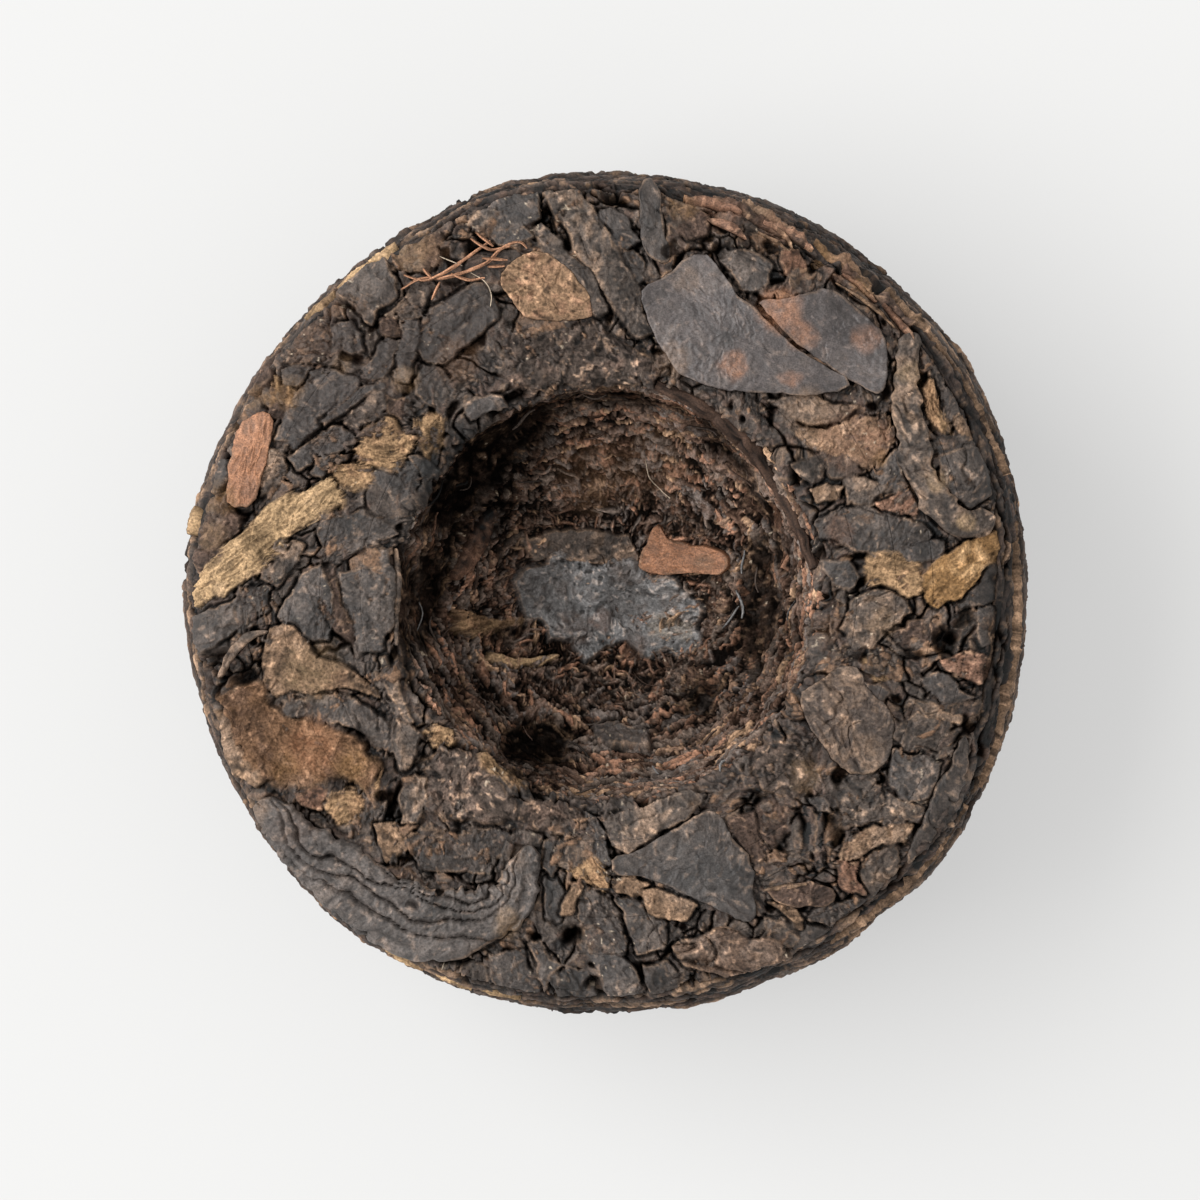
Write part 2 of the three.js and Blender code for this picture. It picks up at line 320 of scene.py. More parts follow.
# Round the side: plates that lie one over the other, strands and dark lines. The splits between the plates
# and the lines are painted dark as shade. Sizes and heights are in mm. The last number in brackets tells how
# much longer than wide it is.
SIDE_SCALE = 0.6
SIDE_STRETCH = 4.0
SIDE_RELIEF = 0.7
PLATE = (0.5, 9.0)
PLATE_LIFT = 0.08
PLATE_SHADE = 0.4
PLATE_EDGE = (0.01, 0.05)
PLATE_SPLIT = 0.06
PLATE_SPLIT_SHADE = 0.6
SIDE_STRAND = (0.2, 14)
SIDE_STRAND_HEIGHT = 0.03
SIDE_STRAND_SHADE = 0.4
SIDE_LINE = (0.32, 16)
SIDE_LINE_WIDTH = 0.2
SIDE_LINE_PATCH = (0.6, -0.3, 0.2, 6)
SIDE_LINE_DEPTH = 0.1
SIDE_LINE_SHADE = 0.85
# Its lumps, which are drawn out upwards: sizes and heights
LUMP_STRETCH = 4
SIDE_LUMPS = ((2.2, 0.1), (0.8, 0.05))

# From which stand on, in mm, a leaf is a shell of its own, and how far leaves of a kind differ in tone
SHELL_STAND = 0.1
LEAF_TONES = (0.9, 1.1)

# The face is made of rings that end at these radii, which lap over each other, in mm
FACE_EDGES = (7.15, 8.6, 10.0, 11.3, 12.6, 13.9, 14.8)
FACE_STEP = 0.041
LAP = 0.1

# The hollow's floor and wall: how far out the one ends and the other begins, and their steps along and around
HOLLOW_SPLIT = 5.4
FLOOR_STEPS = (0.036, 0.05)
WALL_STEPS = (0.052, 0.054)

# The side's pieces from the shoulder down: how far each reaches, and its steps along and around, in mm
SIDE_START = 13.6
SIDE_PIECES = (
    ("pressed_shoulder", 3.0, 0.055, 0.06),
    ("pressed_side", 8.0, 0.11, 0.11),
    ("pressed_crown", math.inf, 0.16, 0.16),
)

# Where the face ends: its radius, how much further in it ends on the worn side, and the number of waves round
# it with how far each strays, in mm
RIM_RADIUS = 14.2
RIM_SHIFT = 0.4
RIM_TEARS = ((60, 0.12), (170, 0.07))

# Where one sheet gives way to another, its edge dips under: how far, and where it starts and ends, in mm
RIM_DIP = 0.5
FACE_RIM = (-0.1, 0.3)
SIDE_RIM = (-0.3, 0.1)
LAP_DIP = 0.3
# Deep holes are painted dark, as shade
HOLE_SHADE = 0.8
HOLE_DEEP = (0.6, 0.9)

# Colours of torn leaf from dark to pale, on the face, round the side and in the hollow
FACE_RAMP = ("soot", "umber", "dark_slate", "crumble", "bark", "dark_slate", "umber", "bark", "felt")
SIDE_RAMP = ("soot", "core", "umber", "soot", "crumble", "umber", "bark", "umber", "tan")
HOLLOW_RAMP = (
    "soot", "core", "umber", "bark", "crumble", "umber", "pale_slate", "bark", "rust", "umber", "tan",
)

# Grain of each kind of leaf: its width and its height in mm
GRAINS = {"slate": (0.06, 0.02), "smooth_slate": (0.06, 0.008), "copper": (0.06, 0.01), "rust": (0.06, 0.02)}
PLAIN_GRAIN = (0.09, 0.04)

# The slope of a dent or hole lies between these shares of its radius
SINK_SLOPE = (0.45, 1.25)
# Where the pressed surface has sunk or broken out: x, y, radius and depth, in mm, seen from above
DENTS = (
    (-12.4, -4.4, 1.4, 0.6), (-10.9, -5.4, 1.5, 0.55), (-9.4, -5.9, 1, 0.45),
    (5.6, 12.5, 1.1, 0.35), (7.2, 11.6, 1.1, 0.45), (8.8, 10.7, 1, 0.45), (9.9, 9.7, 0.7, 0.3),
    (3, 13.2, 1.2, 0.25),
)
# Small holes between the leaves, in the same form. The deep ones are painted black as shade.
HOLES = (
    (-12.3, 8.5, 0.35, 0.7), (12, -1.7, 0.5, 0.9), (12.4, -0.9, 0.4, 0.7), (-0.6, -13.8, 0.3, 0.8),
    (-12.8, -2.8, 0.5, 0.9), (-1.3, -12, 0.5, 0.7), (7.3, 11.8, 0.4, 1.1), (9.4, 10.7, 0.35, 1),
    (5.6, 12.2, 0.35, 0.9), (0.1, 13.9, 0.3, 0.8), (2.1, 12.2, 0.25, 0.6), (3.7, 12.2, 0.3, 0.7),
)

# Stains on the leaves, with painted shade and highlight: x, y and radius in mm, the kind of leaf whose colour
# they take, and their strength. The nearly black ones in the hollow are painted shade over its shadowed
# walls, and the two pale ones on its grey leaf a painted highlight.
STAINS_AND_PAINTED_LIGHT = (
    (4.3, 8, 0.6, "copper", 0.6), (6, 9.9, 0.9, "copper", 0.65), (6.7, 9.1, 0.6, "copper", 0.5),
    (2.2, 8.2, 0.7, "tan", 0.4), (6.3, 7.6, 0.4, "copper", 0.45), (8.9, 8.9, 0.6, "copper", 0.35),
    (2.6, 10.9, 0.6, "tan", 0.25), (9.4, 5.3, 0.7, "rust", 0.6), (7.2, 5.7, 0.5, "tan", 0.5),
    (11.5, 4, 0.5, "ochre", 0.35), (12.5, 2.5, 0.4, "ochre", 0.5), (10.5, 7.6, 0.5, "ochre", 0.3),
    (8, 2.2, 0.6, "rust", 0.35), (-12.6, 3.7, 0.5, "umber", 0.4), (-12.7, 5.9, 0.4, "bark", 0.4),
    (8.4, -4.4, 2, "core", 0.5), (9.2, -5.4, 0.5, "tan", 0.3), (-11.2, -2.4, 0.5, "umber", 0.3),
    (-9.6, -3, 0.5, "rust", 0.3), (0.6, -0.2, 1, "slate", 0.5), (-0.6, 4.2, 1.6, "felt", 0.35),
    (1.6, 4.6, 1.4, "felt", 0.3), (6, 13, 0.8, "rust", 0.5), (4, 13.6, 0.9, "rust", 0.45),
    (8.2, 11.6, 0.8, "rust", 0.4), (-10.4, -5.4, 1.2, "copper", 0.35), (-12.6, -4.6, 0.9, "umber", 0.4),
    (-9, -6, 0.7, "amber", 0.45), (-11.4, -6.2, 0.7, "amber", 0.3), (8.4, 5.4, 1.4, "rust", 0.35),
    (-10.4, -2.7, 1.2, "ochre", 0.25), (3, -9.8, 1.6, "mist", 0.15), (3.3, -9.6, 1.6, "soot", 0.15),
    (-10.9, 9.2, 0.7, "felt", 0.4), (-11.4, 7.2, 0.7, "amber", 0.55), (-7, 12.2, 0.9, "straw", 0.45),
    (-5.4, 8.3, 0.9, "felt", 0.6), (-9.6, 8.2, 0.5, "straw", 0.5), (-7.3, 7.6, 0.6, "straw", 0.55),
    (-10.2, 10.4, 0.7, "felt", 0.5), (-8.9, 10.2, 0.5, "felt", 0.4), (-12.6, 7, 0.5, "amber", 0.45),
    (-13.6, 3.3, 0.7, "amber", 0.45), (-13.8, 2, 0.6, "straw", 0.4), (-12, 6.9, 0.3, "amber", 0.6),
    (-6.2, 12.2, 0.6, "felt", 0.4), (6.8, -6.4, 0.7, "straw", 0.35), (7.6, -1.2, 0.7, "felt", 0.4),
    (9.6, -1, 0.6, "straw", 0.35), (-9.6, 7.4, 3, "core", 0.4), (-6, 9.4, 2.4, "core", 0.4),
    (-10.4, 9.8, 2, "core", 0.4), (12.6, 4.2, 1, "soot", 0.2), (-8.5, -0.5, 1.2, "soot", 0.2),
    (-2.4, 0.3, 1.4, "slate", 0.5), (-1.3, -1.3, 0.8, "umber", 0.5), (0.5, 0.9, 0.7, "umber", 0.4),
    (-0.4, -0.9, 0.5, "rust", 0.35), (2.2, -0.2, 0.6, "bark", 0.5), (0.9, -1.9, 0.6, "umber", 0.6),
    (1.7, 1.6, 0.4, "umber", 0.4), (3.4, 1.2, 0.4, "tan", 0.4), (-5, 3.8, 2.7, "soot", 1),
    (5.5, -1.4, 1.7, "soot", 0.45), (4.7, -3.4, 1.4, "soot", 0.35), (-6.2, 0.8, 1.2, "soot", 0.7),
    (-3, 5.6, 1.6, "soot", 0.7), (-2.6, -5.8, 1.7, "soot", 0.8), (-5.2, -3.6, 1.4, "soot", 0.5),
    (6.8, 6.4, 1, "tan", 0.5), (9.4, 4.7, 0.4, "amber", 0.5), (1.9, -1.2, 0.6, "lint", 0.25),
    (2.6, -1.4, 0.4, "lint", 0.2), (-12.4, -7.5, 0.7, "tan", 0.45), (-11, -8.2, 0.8, "umber", 0.4),
    (-3.6, -11.5, 0.6, "straw", 0.5), (-3.2, -9.3, 0.5, "tan", 0.3), (2.6, 13.6, 0.7, "amber", 0.4),
    (7.6, 12.2, 0.6, "amber", 0.5), (9, 10.9, 0.5, "amber", 0.4),
)


class Style(NamedTuple):
    """How one kind of leaf looks. Stand, blend, wrinkle and wrinkle_size are in mm, the others are shares.

    Fleck is the colour that mottles it, speck how much grain it shows.
    """

    fleck: str
    fleck_share: float
    stand: float
    blend: float
    wrinkle: float
    wrinkle_size: float
    crease: float
    fibre: float
    gloss: float
    speck: float = 1.0


STYLES = {
    "slate": Style("bark", 0.45, 0.05, 0.04, 0.03, 0.5, 0.3, 0.0, 0.5, 0.8),
    "smooth_slate": Style("bark", 0.35, 0.05, 0.025, 0.01, 0.9, 0.1, 0.0, 0.6, 0.4),
    "mist": Style("crumble", 0.6, 0.0, 0.08, 0.05, 0.5, 0.6, 0.0, 0.5, 1.2),
    "pale_slate": Style("bark", 0.5, 0.06, 0.03, 0.14, 0.3, 0.35, 0.2, 0.5, 0.8),
    "dark_slate": Style("bark", 0.45, 0.02, 0.04, 0.05, 0.5, 0.6, 0.1, 0.5, 0.8),
    "bark": Style("tan", 0.4, 0.03, 0.05, 0.03, 0.5, 0.5, 0.1, 0.35),
    "umber": Style("soot", 0.4, 0.02, 0.08, 0.04, 0.45, 0.5, 0.3, 0.25),
    "crumble": Style("umber", 0.6, 0.0, 0.2, 0.02, 0.4, 0.5, 0.0, 0.2, 1.5),
    "soot": Style("umber", 0.25, -0.3, 0.3, 0.03, 0.4, 0.6, 0.0, 0.0),
    "ochre": Style("bark", 0.4, 0.04, 0.06, 0.02, 0.3, 0.2, 1.0, 0.1, 0.4),
    "amber": Style("ochre", 0.4, 0.04, 0.05, 0.04, 0.4, 0.3, 0.6, 0.15, 0.6),
    "straw": Style("felt", 0.6, 0.02, 0.1, 0.03, 0.3, 0.5, 1.2, 0.1, 0.5),
    "gold": Style("rust", 0.6, 0.04, 0.03, 0.04, 0.4, 0.5, 0.15, 0.2),
    "tan": Style("bark", 0.5, 0.04, 0.04, 0.04, 0.45, 0.5, 0.3, 0.2),
    "rust": Style("umber", 0.5, 0.03, 0.04, 0.04, 0.4, 0.5, 0.5, 0.3),
    "ridged": Style("bark", 0.5, 0.03, 0.04, 0.12, 0.28, 0.4, 0.6, 0.3),
    "copper": Style("umber", 0.4, 0.08, 0.03, 0.02, 0.3, 0.05, 0.7, 0.4, 0.3),
    "felt": Style("umber", 0.6, 0.08, 0.15, 0.1, 0.6, 0.3, 0.2, 0.05, 0.8),
}

# Leaves that show one by one, by kind: how far each stands up more than its kind does, and its outline
# seen from above, as x and y in turn, all in mm
LEAVES = {"slate": [
    (0, [-10.45, 8, -9.9, 7.95, -9, 7.6, -8.9, 7.25, -9.8, 6.5, -10.6, 5.75, -11, 5.2, -11.9, 5.5,
        -11.3, 6.5, -10.9, 7.2]),
    (0, [-11.2, 4.9, -10.6, 5.3, -10.1, 5.85, -9.5, 5.95, -9.2, 5.5, -9.6, 5, -10.2, 4.55, -10.9, 4.4]),
    (0, [-11.6, 8, -11, 8.1, -10.6, 8, -11, 7.4, -11.5, 7.5]),
    (0, [-9.5, 9.6, -9.1, 9.75, -8.8, 9.3, -8.85, 8.7, -9.2, 8.5, -9.7, 8.7, -9.8, 9.2]),
    (0, [-7.4, 9.9, -6.9, 9.9, -6.85, 9, -7, 8.2, -7.1, 7.6, -7.6, 7.7, -7.5, 8.8]),
    (0, [-8.8, 8, -8.3, 8.7, -8, 8.95, -7.6, 8.9, -7.7, 8.1, -8, 7.7, -8.6, 7.7]),
    (0, [-0.65, 13.3, 0.2, 13.4, 0.55, 13.05, 0.95, 12.35, 0.6, 12.1, 0.05, 12.2, -0.3, 12.8]),
    (0.1, [1.05, 14.3, 1.4, 14.45, 1.75, 14.2, 1.8, 13.2, 1.95, 12.4, 2.2, 12, 1.9, 11.5, 1.4, 11.7,
        1.05, 12.3, 1, 13.3]),
    (0.05, [3.85, 11.8, 4.1, 12.05, 4.7, 12, 5.3, 11.7, 5.7, 11.4, 5.5, 10.9, 5, 10.6, 4.6, 10.7,
        4.2, 11.2]),
    (0, [-4.1, 13.9, -3.3, 14, -2.5, 14.1, -2.5, 13.3, -3, 13, -4.2, 13.1, -4.6, 13.4]),
    (0, [-4, 12.9, -3.2, 13, -2.8, 12.6, -3.3, 12.35, -3.9, 12.35, -4.1, 12.6]),
    (0, [-5.2, 6.6, -4.6, 6.9, -3.8, 7, -3.6, 6.7, -4.3, 6.4, -4.9, 6.1]),
    (0, [9.3, 4.3, 10, 5, 10.3, 4.2, 10.35, 3.6, 9.9, 3.6, 9.4, 4]),
    (0, [10.2, 1.5, 11.2, 1.9, 11.8, 1.9, 11.9, 1.5, 11, 1.2, 10.4, 1.2]),
    (0, [7.5, 1.2, 8.3, 1.1, 8.7, 0.6, 8.5, 0.2, 7.9, 0.3]),
    (0, [13, -0.5, 13.5, -0.4, 13.6, -1.1, 13.5, -1.8, 13.2, -1.9, 13, -1.3]),
    (0, [8.8, -3.1, 9.4, -3.2, 9.9, -3.6, 9.6, -3.9, 9, -3.6]),
    (0, [11, -3.1, 11.6, -2.9, 12.4, -3.3, 12.9, -3.6, 12, -3.8, 11.3, -3.6]),
    (0, [10, -5.5, 10.8, -5.6, 11.5, -5.9, 11.4, -6.6, 11.2, -7.1, 10.4, -7.2, 9.9, -6.5]),
    (0, [7, -7.1, 7.5, -7.2, 7.7, -7.6, 7.2, -7.6]),
    (0.12, [3.1, -7.7, 3.8, -7.6, 4.1, -8.2, 4.3, -8.6, 4.8, -9, 5.1, -9.7, 5, -10.3, 5.2, -11.2, 4.9, -11.6,
        4, -11.2, 2.9, -10.7, 1.8, -10.2, 0.9, -9.9, 0.1, -9.9, 0, -9.3, 0.9, -9.1, 1.7, -8.6, 2.5, -8.1]),
    (0.05, [-0.9, -7.6, -0.5, -7.8, -0.2, -8.8, 0, -9.5, -0.3, -9.6, -0.7, -9, -0.8, -8.3]),
    (0, [-0.6, -12.8, 0.3, -12.9, 0.9, -13.4, 1.2, -14.2, 1.3, -14.6, 0.5, -14.7, 0, -14.2, -0.4, -13.5]),
    (0, [-1.6, -13, -0.9, -13.4, -0.4, -14.3, -0.7, -14.4, -1.3, -13.9]),
    (0, [-2.9, -12.3, -2.5, -12.2, -2.2, -12.9, -1.7, -13, -2.1, -13.5, -2.4, -13.9, -2.5, -13]),
    (0, [-4.1, -12.6, -3.1, -12.5, -3, -13, -2.6, -13.6, -2.6, -14.4, -3.6, -14.1, -4.1, -13.5]),
    (0, [-2.2, -10, -1.9, -9.9, -1.6, -10.6, -1.9, -11.5, -2.3, -11.3]),
    (0, [-11.6, -0.9, -11, 0.1, -10.6, 0.8, -10.1, 0.9, -9.8, 0.2, -9.6, -0.8, -9.9, -1.5, -10.6, -1.6,
        -11.2, -1.3]),
    (0.05, [-9.4, 0.75, -8.6, 0.85, -7.6, 0.7, -7.45, 0, -7.6, -1.2, -8, -1.85, -8.7, -1.9, -9, -1.4,
        -9.2, -0.6]),
    (0, [-8.3, 4.2, -7.6, 4.8, -7, 4.9, -6.8, 4.3, -7, 3.4, -7.4, 3.1, -7.8, 3.6]),
    (0, [-10.5, 4.2, -9.9, 4.9, -9.5, 4.9, -9.9, 4]),
    (0, [-0.4, -4.8, 0.4, -4.7, 1.3, -5.1, 1.4, -5.5, 0.3, -5.4, -0.3, -5.2]),
], "smooth_slate": [
    (0.22, [1, 10.5, 1.4, 10.95, 2, 11.1, 2.4, 11.65, 3, 11.9, 3.5, 11.85, 4.3, 10.7, 5.2, 9.8, 6.1, 8.9,
        7.2, 8.05, 8.6, 7.4, 7.8, 7, 6, 6.95, 4.4, 7.05, 3.1, 7.35, 2.2, 7.9, 1.7, 8.7, 1.3, 9.7]),
    (0.1, [5.1, 10.3, 6.2, 10.35, 7, 10.5, 7.6, 10.75, 8.4, 10.3, 9, 9.6, 9.5, 9.1, 9.7, 8.3, 9.7, 7.5,
        9.5, 6.9, 8.7, 7.25, 7.3, 8.1, 6.2, 9, 5.6, 9.7]),
], "ridged": [
    (0.05, [2.3, -12.4, 3.2, -12.1, 3.9, -11.8, 5, -12.1, 5.8, -12.2, 6.5, -12.7, 6.3, -13, 5.3, -13.2,
        3.9, -13.4, 2.8, -13.1]),
], "mist": [
    (0.05, [-3.4, 0.4, -2.9, 1, -2.2, 1.1, -1.9, 1.7, -1, 1.5, -0.6, 1, 0.3, 1.3, 1, 1.1, 1.6, 0.5, 2.4, 0.6,
        2.7, 0, 3.2, -0.4, 3, -1.2, 3.2, -1.8, 2.5, -2.2, 2, -1.8, 1.2, -2.2, 0.6, -1.6, -0.2, -1.9,
        -0.8, -2.3, -1.3, -1.6, -2.1, -1.6, -2.4, -0.9, -3.1, -0.8]),
], "dark_slate": [
    (0, [-9.8, 10.7, -9.1, 11.3, -8.4, 11.9, -7.9, 11.8, -7.6, 11.2, -7.7, 10.6, -8.2, 10.1, -8.4, 9.6,
        -8.7, 10, -9.2, 10.4]),
    (0.05, [-6.9, 9.7, -6.2, 10.1, -5.2, 10.7, -4.5, 10.9, -4, 10.3, -4.1, 9.6, -4.9, 9, -5.9, 8.2,
        -6.6, 8.3, -6.9, 8.7]),
    (0, [-6.6, 8.1, -6.2, 8.1, -5.9, 7.7, -5.5, 7.1, -5.8, 6.6, -6.4, 6.8, -6.9, 7.1, -6.8, 7.7]),
    (0, [0.1, 12, 0.8, 11.95, 1.2, 11.6, 1.25, 11.2, 1, 10.8, 0.7, 11, 0.3, 11.4]),
    (0, [11.2, 8.6, 11.7, 8.3, 12.3, 7.7, 12.7, 7, 12.3, 6.5, 12, 6.1, 11.6, 6.3, 11.5, 7.2, 11.2, 7.7]),
    (0.05, [11.55, 4.9, 12.4, 5.1, 13.3, 4.9, 13.6, 4.5, 13.6, 3.8, 13.2, 3.4, 12.7, 3.15, 12, 3.5,
        11.6, 4]),
    (0, [11.3, 5.4, 12.5, 5.6, 13.2, 5.4, 13.3, 5.1, 12.4, 5.1, 11.5, 5]),
    (0.05, [7.2, 2.5, 8, 2.9, 9, 3, 10.2, 2.8, 11, 2.5, 11.3, 2.1, 10.9, 1.6, 10, 1.4, 9.2, 1.3, 8.6, 1.6,
        8, 1.9, 7.4, 2.1]),
    (0, [12.2, -0.6, 12.9, 0.3, 13.5, 1, 14.1, 1.1, 14.2, 0.3, 13.9, -0.1, 13.2, -0.3]),
    (0, [8.2, -10.8, 9, -10.6, 9.1, -11.2, 8.5, -11.7, 7.8, -11.8, 7.1, -11.4, 7.3, -11]),
    (0, [6.5, -12.3, 7, -11.7, 7.8, -12, 8, -12.3, 7.3, -12.7, 6.7, -12.7]),
    (0, [-1.2, -11.3, -1, -10.6, -0.5, -10.5, 0, -10.8, 0.3, -11.5, 0.5, -12.2, 0.4, -12.8, -0.3, -12.5,
        -0.9, -12.2]),
    (0, [0.2, -10.8, 0.9, -10.8, 1.3, -11.2, 1.9, -11.7, 1.9, -12.4, 1, -12.7, 0.7, -12]),
    (0, [1.2, -13.1, 2.1, -13, 2.4, -13.4, 2.4, -14.3, 1.6, -14.3, 1.3, -13.7]),
    (0, [-2.1, -13.6, -1.5, -13.2, -0.9, -14.2, -1.1, -14.7, -1.9, -14.3]),
    (0, [-2.3, -8.7, -1.8, -8.6, -1.6, -9.2, -2, -9.9, -2.4, -9.4]),
    (-0.1, [-6.9, -8.9, -5.9, -8.6, -4.9, -8.2, -4, -8.2, -3.4, -8.6, -3.9, -9.3, -4.2, -9.7, -5.3, -9.7,
        -6.5, -9.5]),
    (-0.1, [-9, -8.3, -8.5, -7.5, -8, -7.3, -8, -7.9, -8.1, -9, -8.6, -9.2, -9.1, -8.8]),
    (0, [-15, -1.3, -14.4, -0.9, -13.4, -0.3, -12.4, 0.2, -11.8, 0.2, -12, -0.6, -12.7, -1, -13.4, -1.4,
        -13.8, -1.8, -14.3, -2.1, -14.8, -1.7]),
    (0, [-10, 2.6, -9.3, 2.8, -8.6, 3, -8, 2.6, -7.4, 2.1, -8.4, 1.7, -9.2, 1.3, -9.9, 1.6, -10.2, 2.1]),
    (0, [-7, 4.8, -6.3, 4.8, -6, 4.4, -6.6, 4]),
    (0, [-14.6, 4.7, -14.1, 5, -13.6, 4.8, -13.5, 4, -13.9, 3.6, -14.3, 3.4, -14.7, 4]),
], "bark": [
    (0, [-9.2, 6.5, -8.6, 7, -8.05, 7.1, -8, 6.6, -8.6, 6.1, -9.1, 5.9, -9.4, 6.1]),
    (0, [-7.9, 10, -7.2, 10.5, -6.6, 11, -6.2, 10.95, -6.4, 10.3, -6.9, 10, -7.4, 9.9]),
    (0, [-5, 12.9, -4.4, 13.6, -4, 13.9, -4.1, 13.2, -4.6, 12.8]),
    (0, [5.7, 6.8, 7, 6.85, 8, 6.6, 8.6, 6.5, 8.2, 6.1, 7.2, 6, 6.2, 6.1]),
    (0, [7.6, 4.7, 8.2, 4.85, 8.8, 4.6, 9, 4.3, 8.4, 3.95, 7.8, 4.1]),
    (0, [8.2, 3.9, 9, 4.05, 9.6, 3.8, 9, 3.2, 8.3, 3.1]),
    (0, [6.8, 4.7, 7.5, 4.9, 7.5, 4.1, 7, 3.8, 6.6, 4.1, 6.4, 4.5]),
    (0.05, [8.5, -0.3, 9.5, 0.1, 10.4, -0.1, 10.6, -0.7, 9.8, -1.2, 9.2, -1.9, 8.6, -1.9, 8.2, -1.2]),
    (0, [10.6, -3.9, 11.6, -4, 12.4, -4.4, 12.3, -4.6, 11.2, -4.2]),
    (0.1, [6.6, -3.6, 7.4, -3, 8.2, -2.5, 8.9, -2.6, 9, -3.4, 9.8, -3.9, 10, -4.6, 9.9, -5.4, 9.5, -6.2,
        8.6, -6.4, 7.9, -6, 7.4, -5.2, 6.9, -4.5]),
    (0, [10.2, -4.6, 10.8, -4.2, 11.6, -4.5, 12, -4.9, 11.9, -5.6, 11, -5.3, 10.4, -5.4, 10, -5]),
    (0, [13, -3.9, 13.5, -3.4, 13.8, -4.1, 13.3, -4.6]),
    (0, [8.3, -6.7, 9.2, -6.5, 9.6, -7, 9.9, -7.6, 9.4, -8, 8.4, -8, 8.1, -7.4]),
    (0, [9.7, -6.8, 10.4, -7.3, 11, -7.5, 10.6, -8, 9.8, -7.9]),
    (0, [8.7, -9.5, 9.3, -8.9, 9.9, -8.7, 10.1, -9.3, 10.3, -9.9, 9.8, -10.4, 9.2, -10.8, 8.9, -10.2]),
    (0, [5.4, -11.5, 6, -11.6, 6.6, -12.1, 6.4, -12.3, 5.6, -11.9]),
    (0.05, [-0.4, -7.7, 0.6, -7.7, 1.6, -7.4, 2.5, -7.1, 3.3, -7, 3.3, -7.3, 2.6, -8, 1.6, -8.5, 0.7, -9,
        0.1, -8.9, -0.1, -8.3]),
    (0, [-5.2, -13.1, -4.7, -12.8, -4.3, -13, -4.3, -13.6, -4.8, -13.9, -5.4, -13.6]),
    (0, [-1.7, -8.7, -0.9, -8.7, -0.7, -9.2, -1.4, -9.7, -1.9, -9.3]),
    (0, [-7.4, -7.2, -6.9, -6.3, -6.5, -6.6, -6.4, -7.2, -6.8, -7.9, -7.3, -7.9]),
    (0, [-12.3, 1.2, -11.5, 1.9, -10.7, 1.7, -11.1, 1, -11.6, 0.2, -12.2, 0.6]),
    (0, [-7.6, -4.5, -7.1, -4.5, -6.7, -4.9, -6.8, -5.8, -7.3, -6.2, -7.7, -5.6]),
    (0, [-12.1, 5, -11.4, 5, -11.3, 4.2, -11.8, 3.6, -12.2, 3.6]),
    (0, [-3.2, 2, -2, 2.2, -0.6, 2.3, 0.6, 2, 0.9, 1.2, -0.4, 1.2, -1.8, 1.4, -2.9, 1.4]),
], "umber": [
    (0.1, [-13.2, 7.5, -12.7, 8, -12.2, 8.2, -11.9, 7.9, -12.1, 7.4, -12.6, 7, -13.1, 7.2]),
    (0, [-12.1, 7.3, -11.6, 7.4, -11.2, 6.6, -11.5, 6.2, -12, 6.4]),
    (0, [-7.6, 12.6, -6.9, 13, -6.1, 13.5, -5.4, 13.9, -4.9, 14, -5.1, 13.3, -5.7, 12.9, -6, 12.4,
        -7, 12.35]),
    (0, [-7.4, 12.3, -6.9, 12.3, -6.2, 12.2, -6, 11.9, -6.4, 11.4, -7.2, 11.5, -7.5, 11.9]),
    (0, [-8.1, 9.8, -7.6, 10, -7.5, 9.5, -7.6, 9.1, -8, 9.05, -8.15, 9.4]),
    (0, [-7.9, 7, -7.2, 6.9, -6.9, 6.4, -7.3, 6.1, -7.9, 6.3]),
    (0, [2.2, 13.5, 2.9, 13.6, 3.4, 13.2, 3.4, 12.6, 2.8, 12.4, 2.4, 12.8]),
    (0, [9.9, -1.3, 10.8, -0.9, 11.5, -0.9, 11.6, -1.4, 11.2, -1.9, 10.4, -1.9]),
    (0.1, [5.4, -10.4, 6.4, -10.1, 7.3, -10.1, 8, -10.4, 7.8, -10.9, 6.6, -11, 5.8, -10.8]),
    (0, [5, -7.5, 5.9, -7.1, 6.4, -7.5, 6.2, -8.1, 5.9, -8.8, 5.3, -9.4, 5, -8.6]),
    (0, [4.2, -8, 4.9, -7.6, 5.3, -8.5, 5.6, -9.3, 5.2, -9.4, 4.7, -8.8]),
    (0, [-7.9, -9.5, -7.2, -9.6, -6.2, -10, -6.9, -10.4, -7.6, -10]),
    (0, [-10.1, 0.6, -9.6, 0.6, -9.4, -0.3, -9.1, -1.2, -9, -1.8, -9.5, -1.4, -9.9, -0.6]),
    (0, [-14.8, -2.2, -14.3, -2.3, -14, -3.2, -14.2, -4, -14.7, -3.6]),
    (0, [-14.5, 2.6, -13.6, 3, -12.9, 2.8, -13.1, 2, -13.6, 1.2, -14.2, 0.8, -14.6, 1.3]),
], "crumble": [
    (0, [-12, 9, -11.4, 9.6, -10.8, 10, -10.2, 10, -9.9, 9.3, -9.9, 8.5, -10.4, 8.2, -11.3, 8.2,
        -11.9, 8.5]),
    (0, [-3.8, 9.3, -2.9, 9.4, -1.9, 9.5, -0.4, 9.5, 0.1, 9, 0.9, 8.4, 1.8, 8.1, 1.6, 7.5, 0.2, 7.25,
        -1.3, 7.3, -2.8, 7.1, -3.6, 7.6, -3.8, 8.4]),
    (0, [-6.6, -6, -5.9, -5.7, -5, -5.5, -4.6, -5.9, -4, -6.6, -3.4, -7.3, -3, -7.9, -3.9, -8, -5, -7.9,
        -5.8, -7.9, -6.2, -7.3]),
    (0, [5.1, -5.3, 6.5, -5.2, 7, -6.2, 6.6, -7, 5.4, -6.9, 5, -6.1]),
    (0, [-2.8, -7.3, -2.2, -7.3, -1.2, -7.5, -0.9, -8, -1, -8.5, -1.9, -8.4, -2.6, -8.2, -3, -7.8]),
], "amber": [
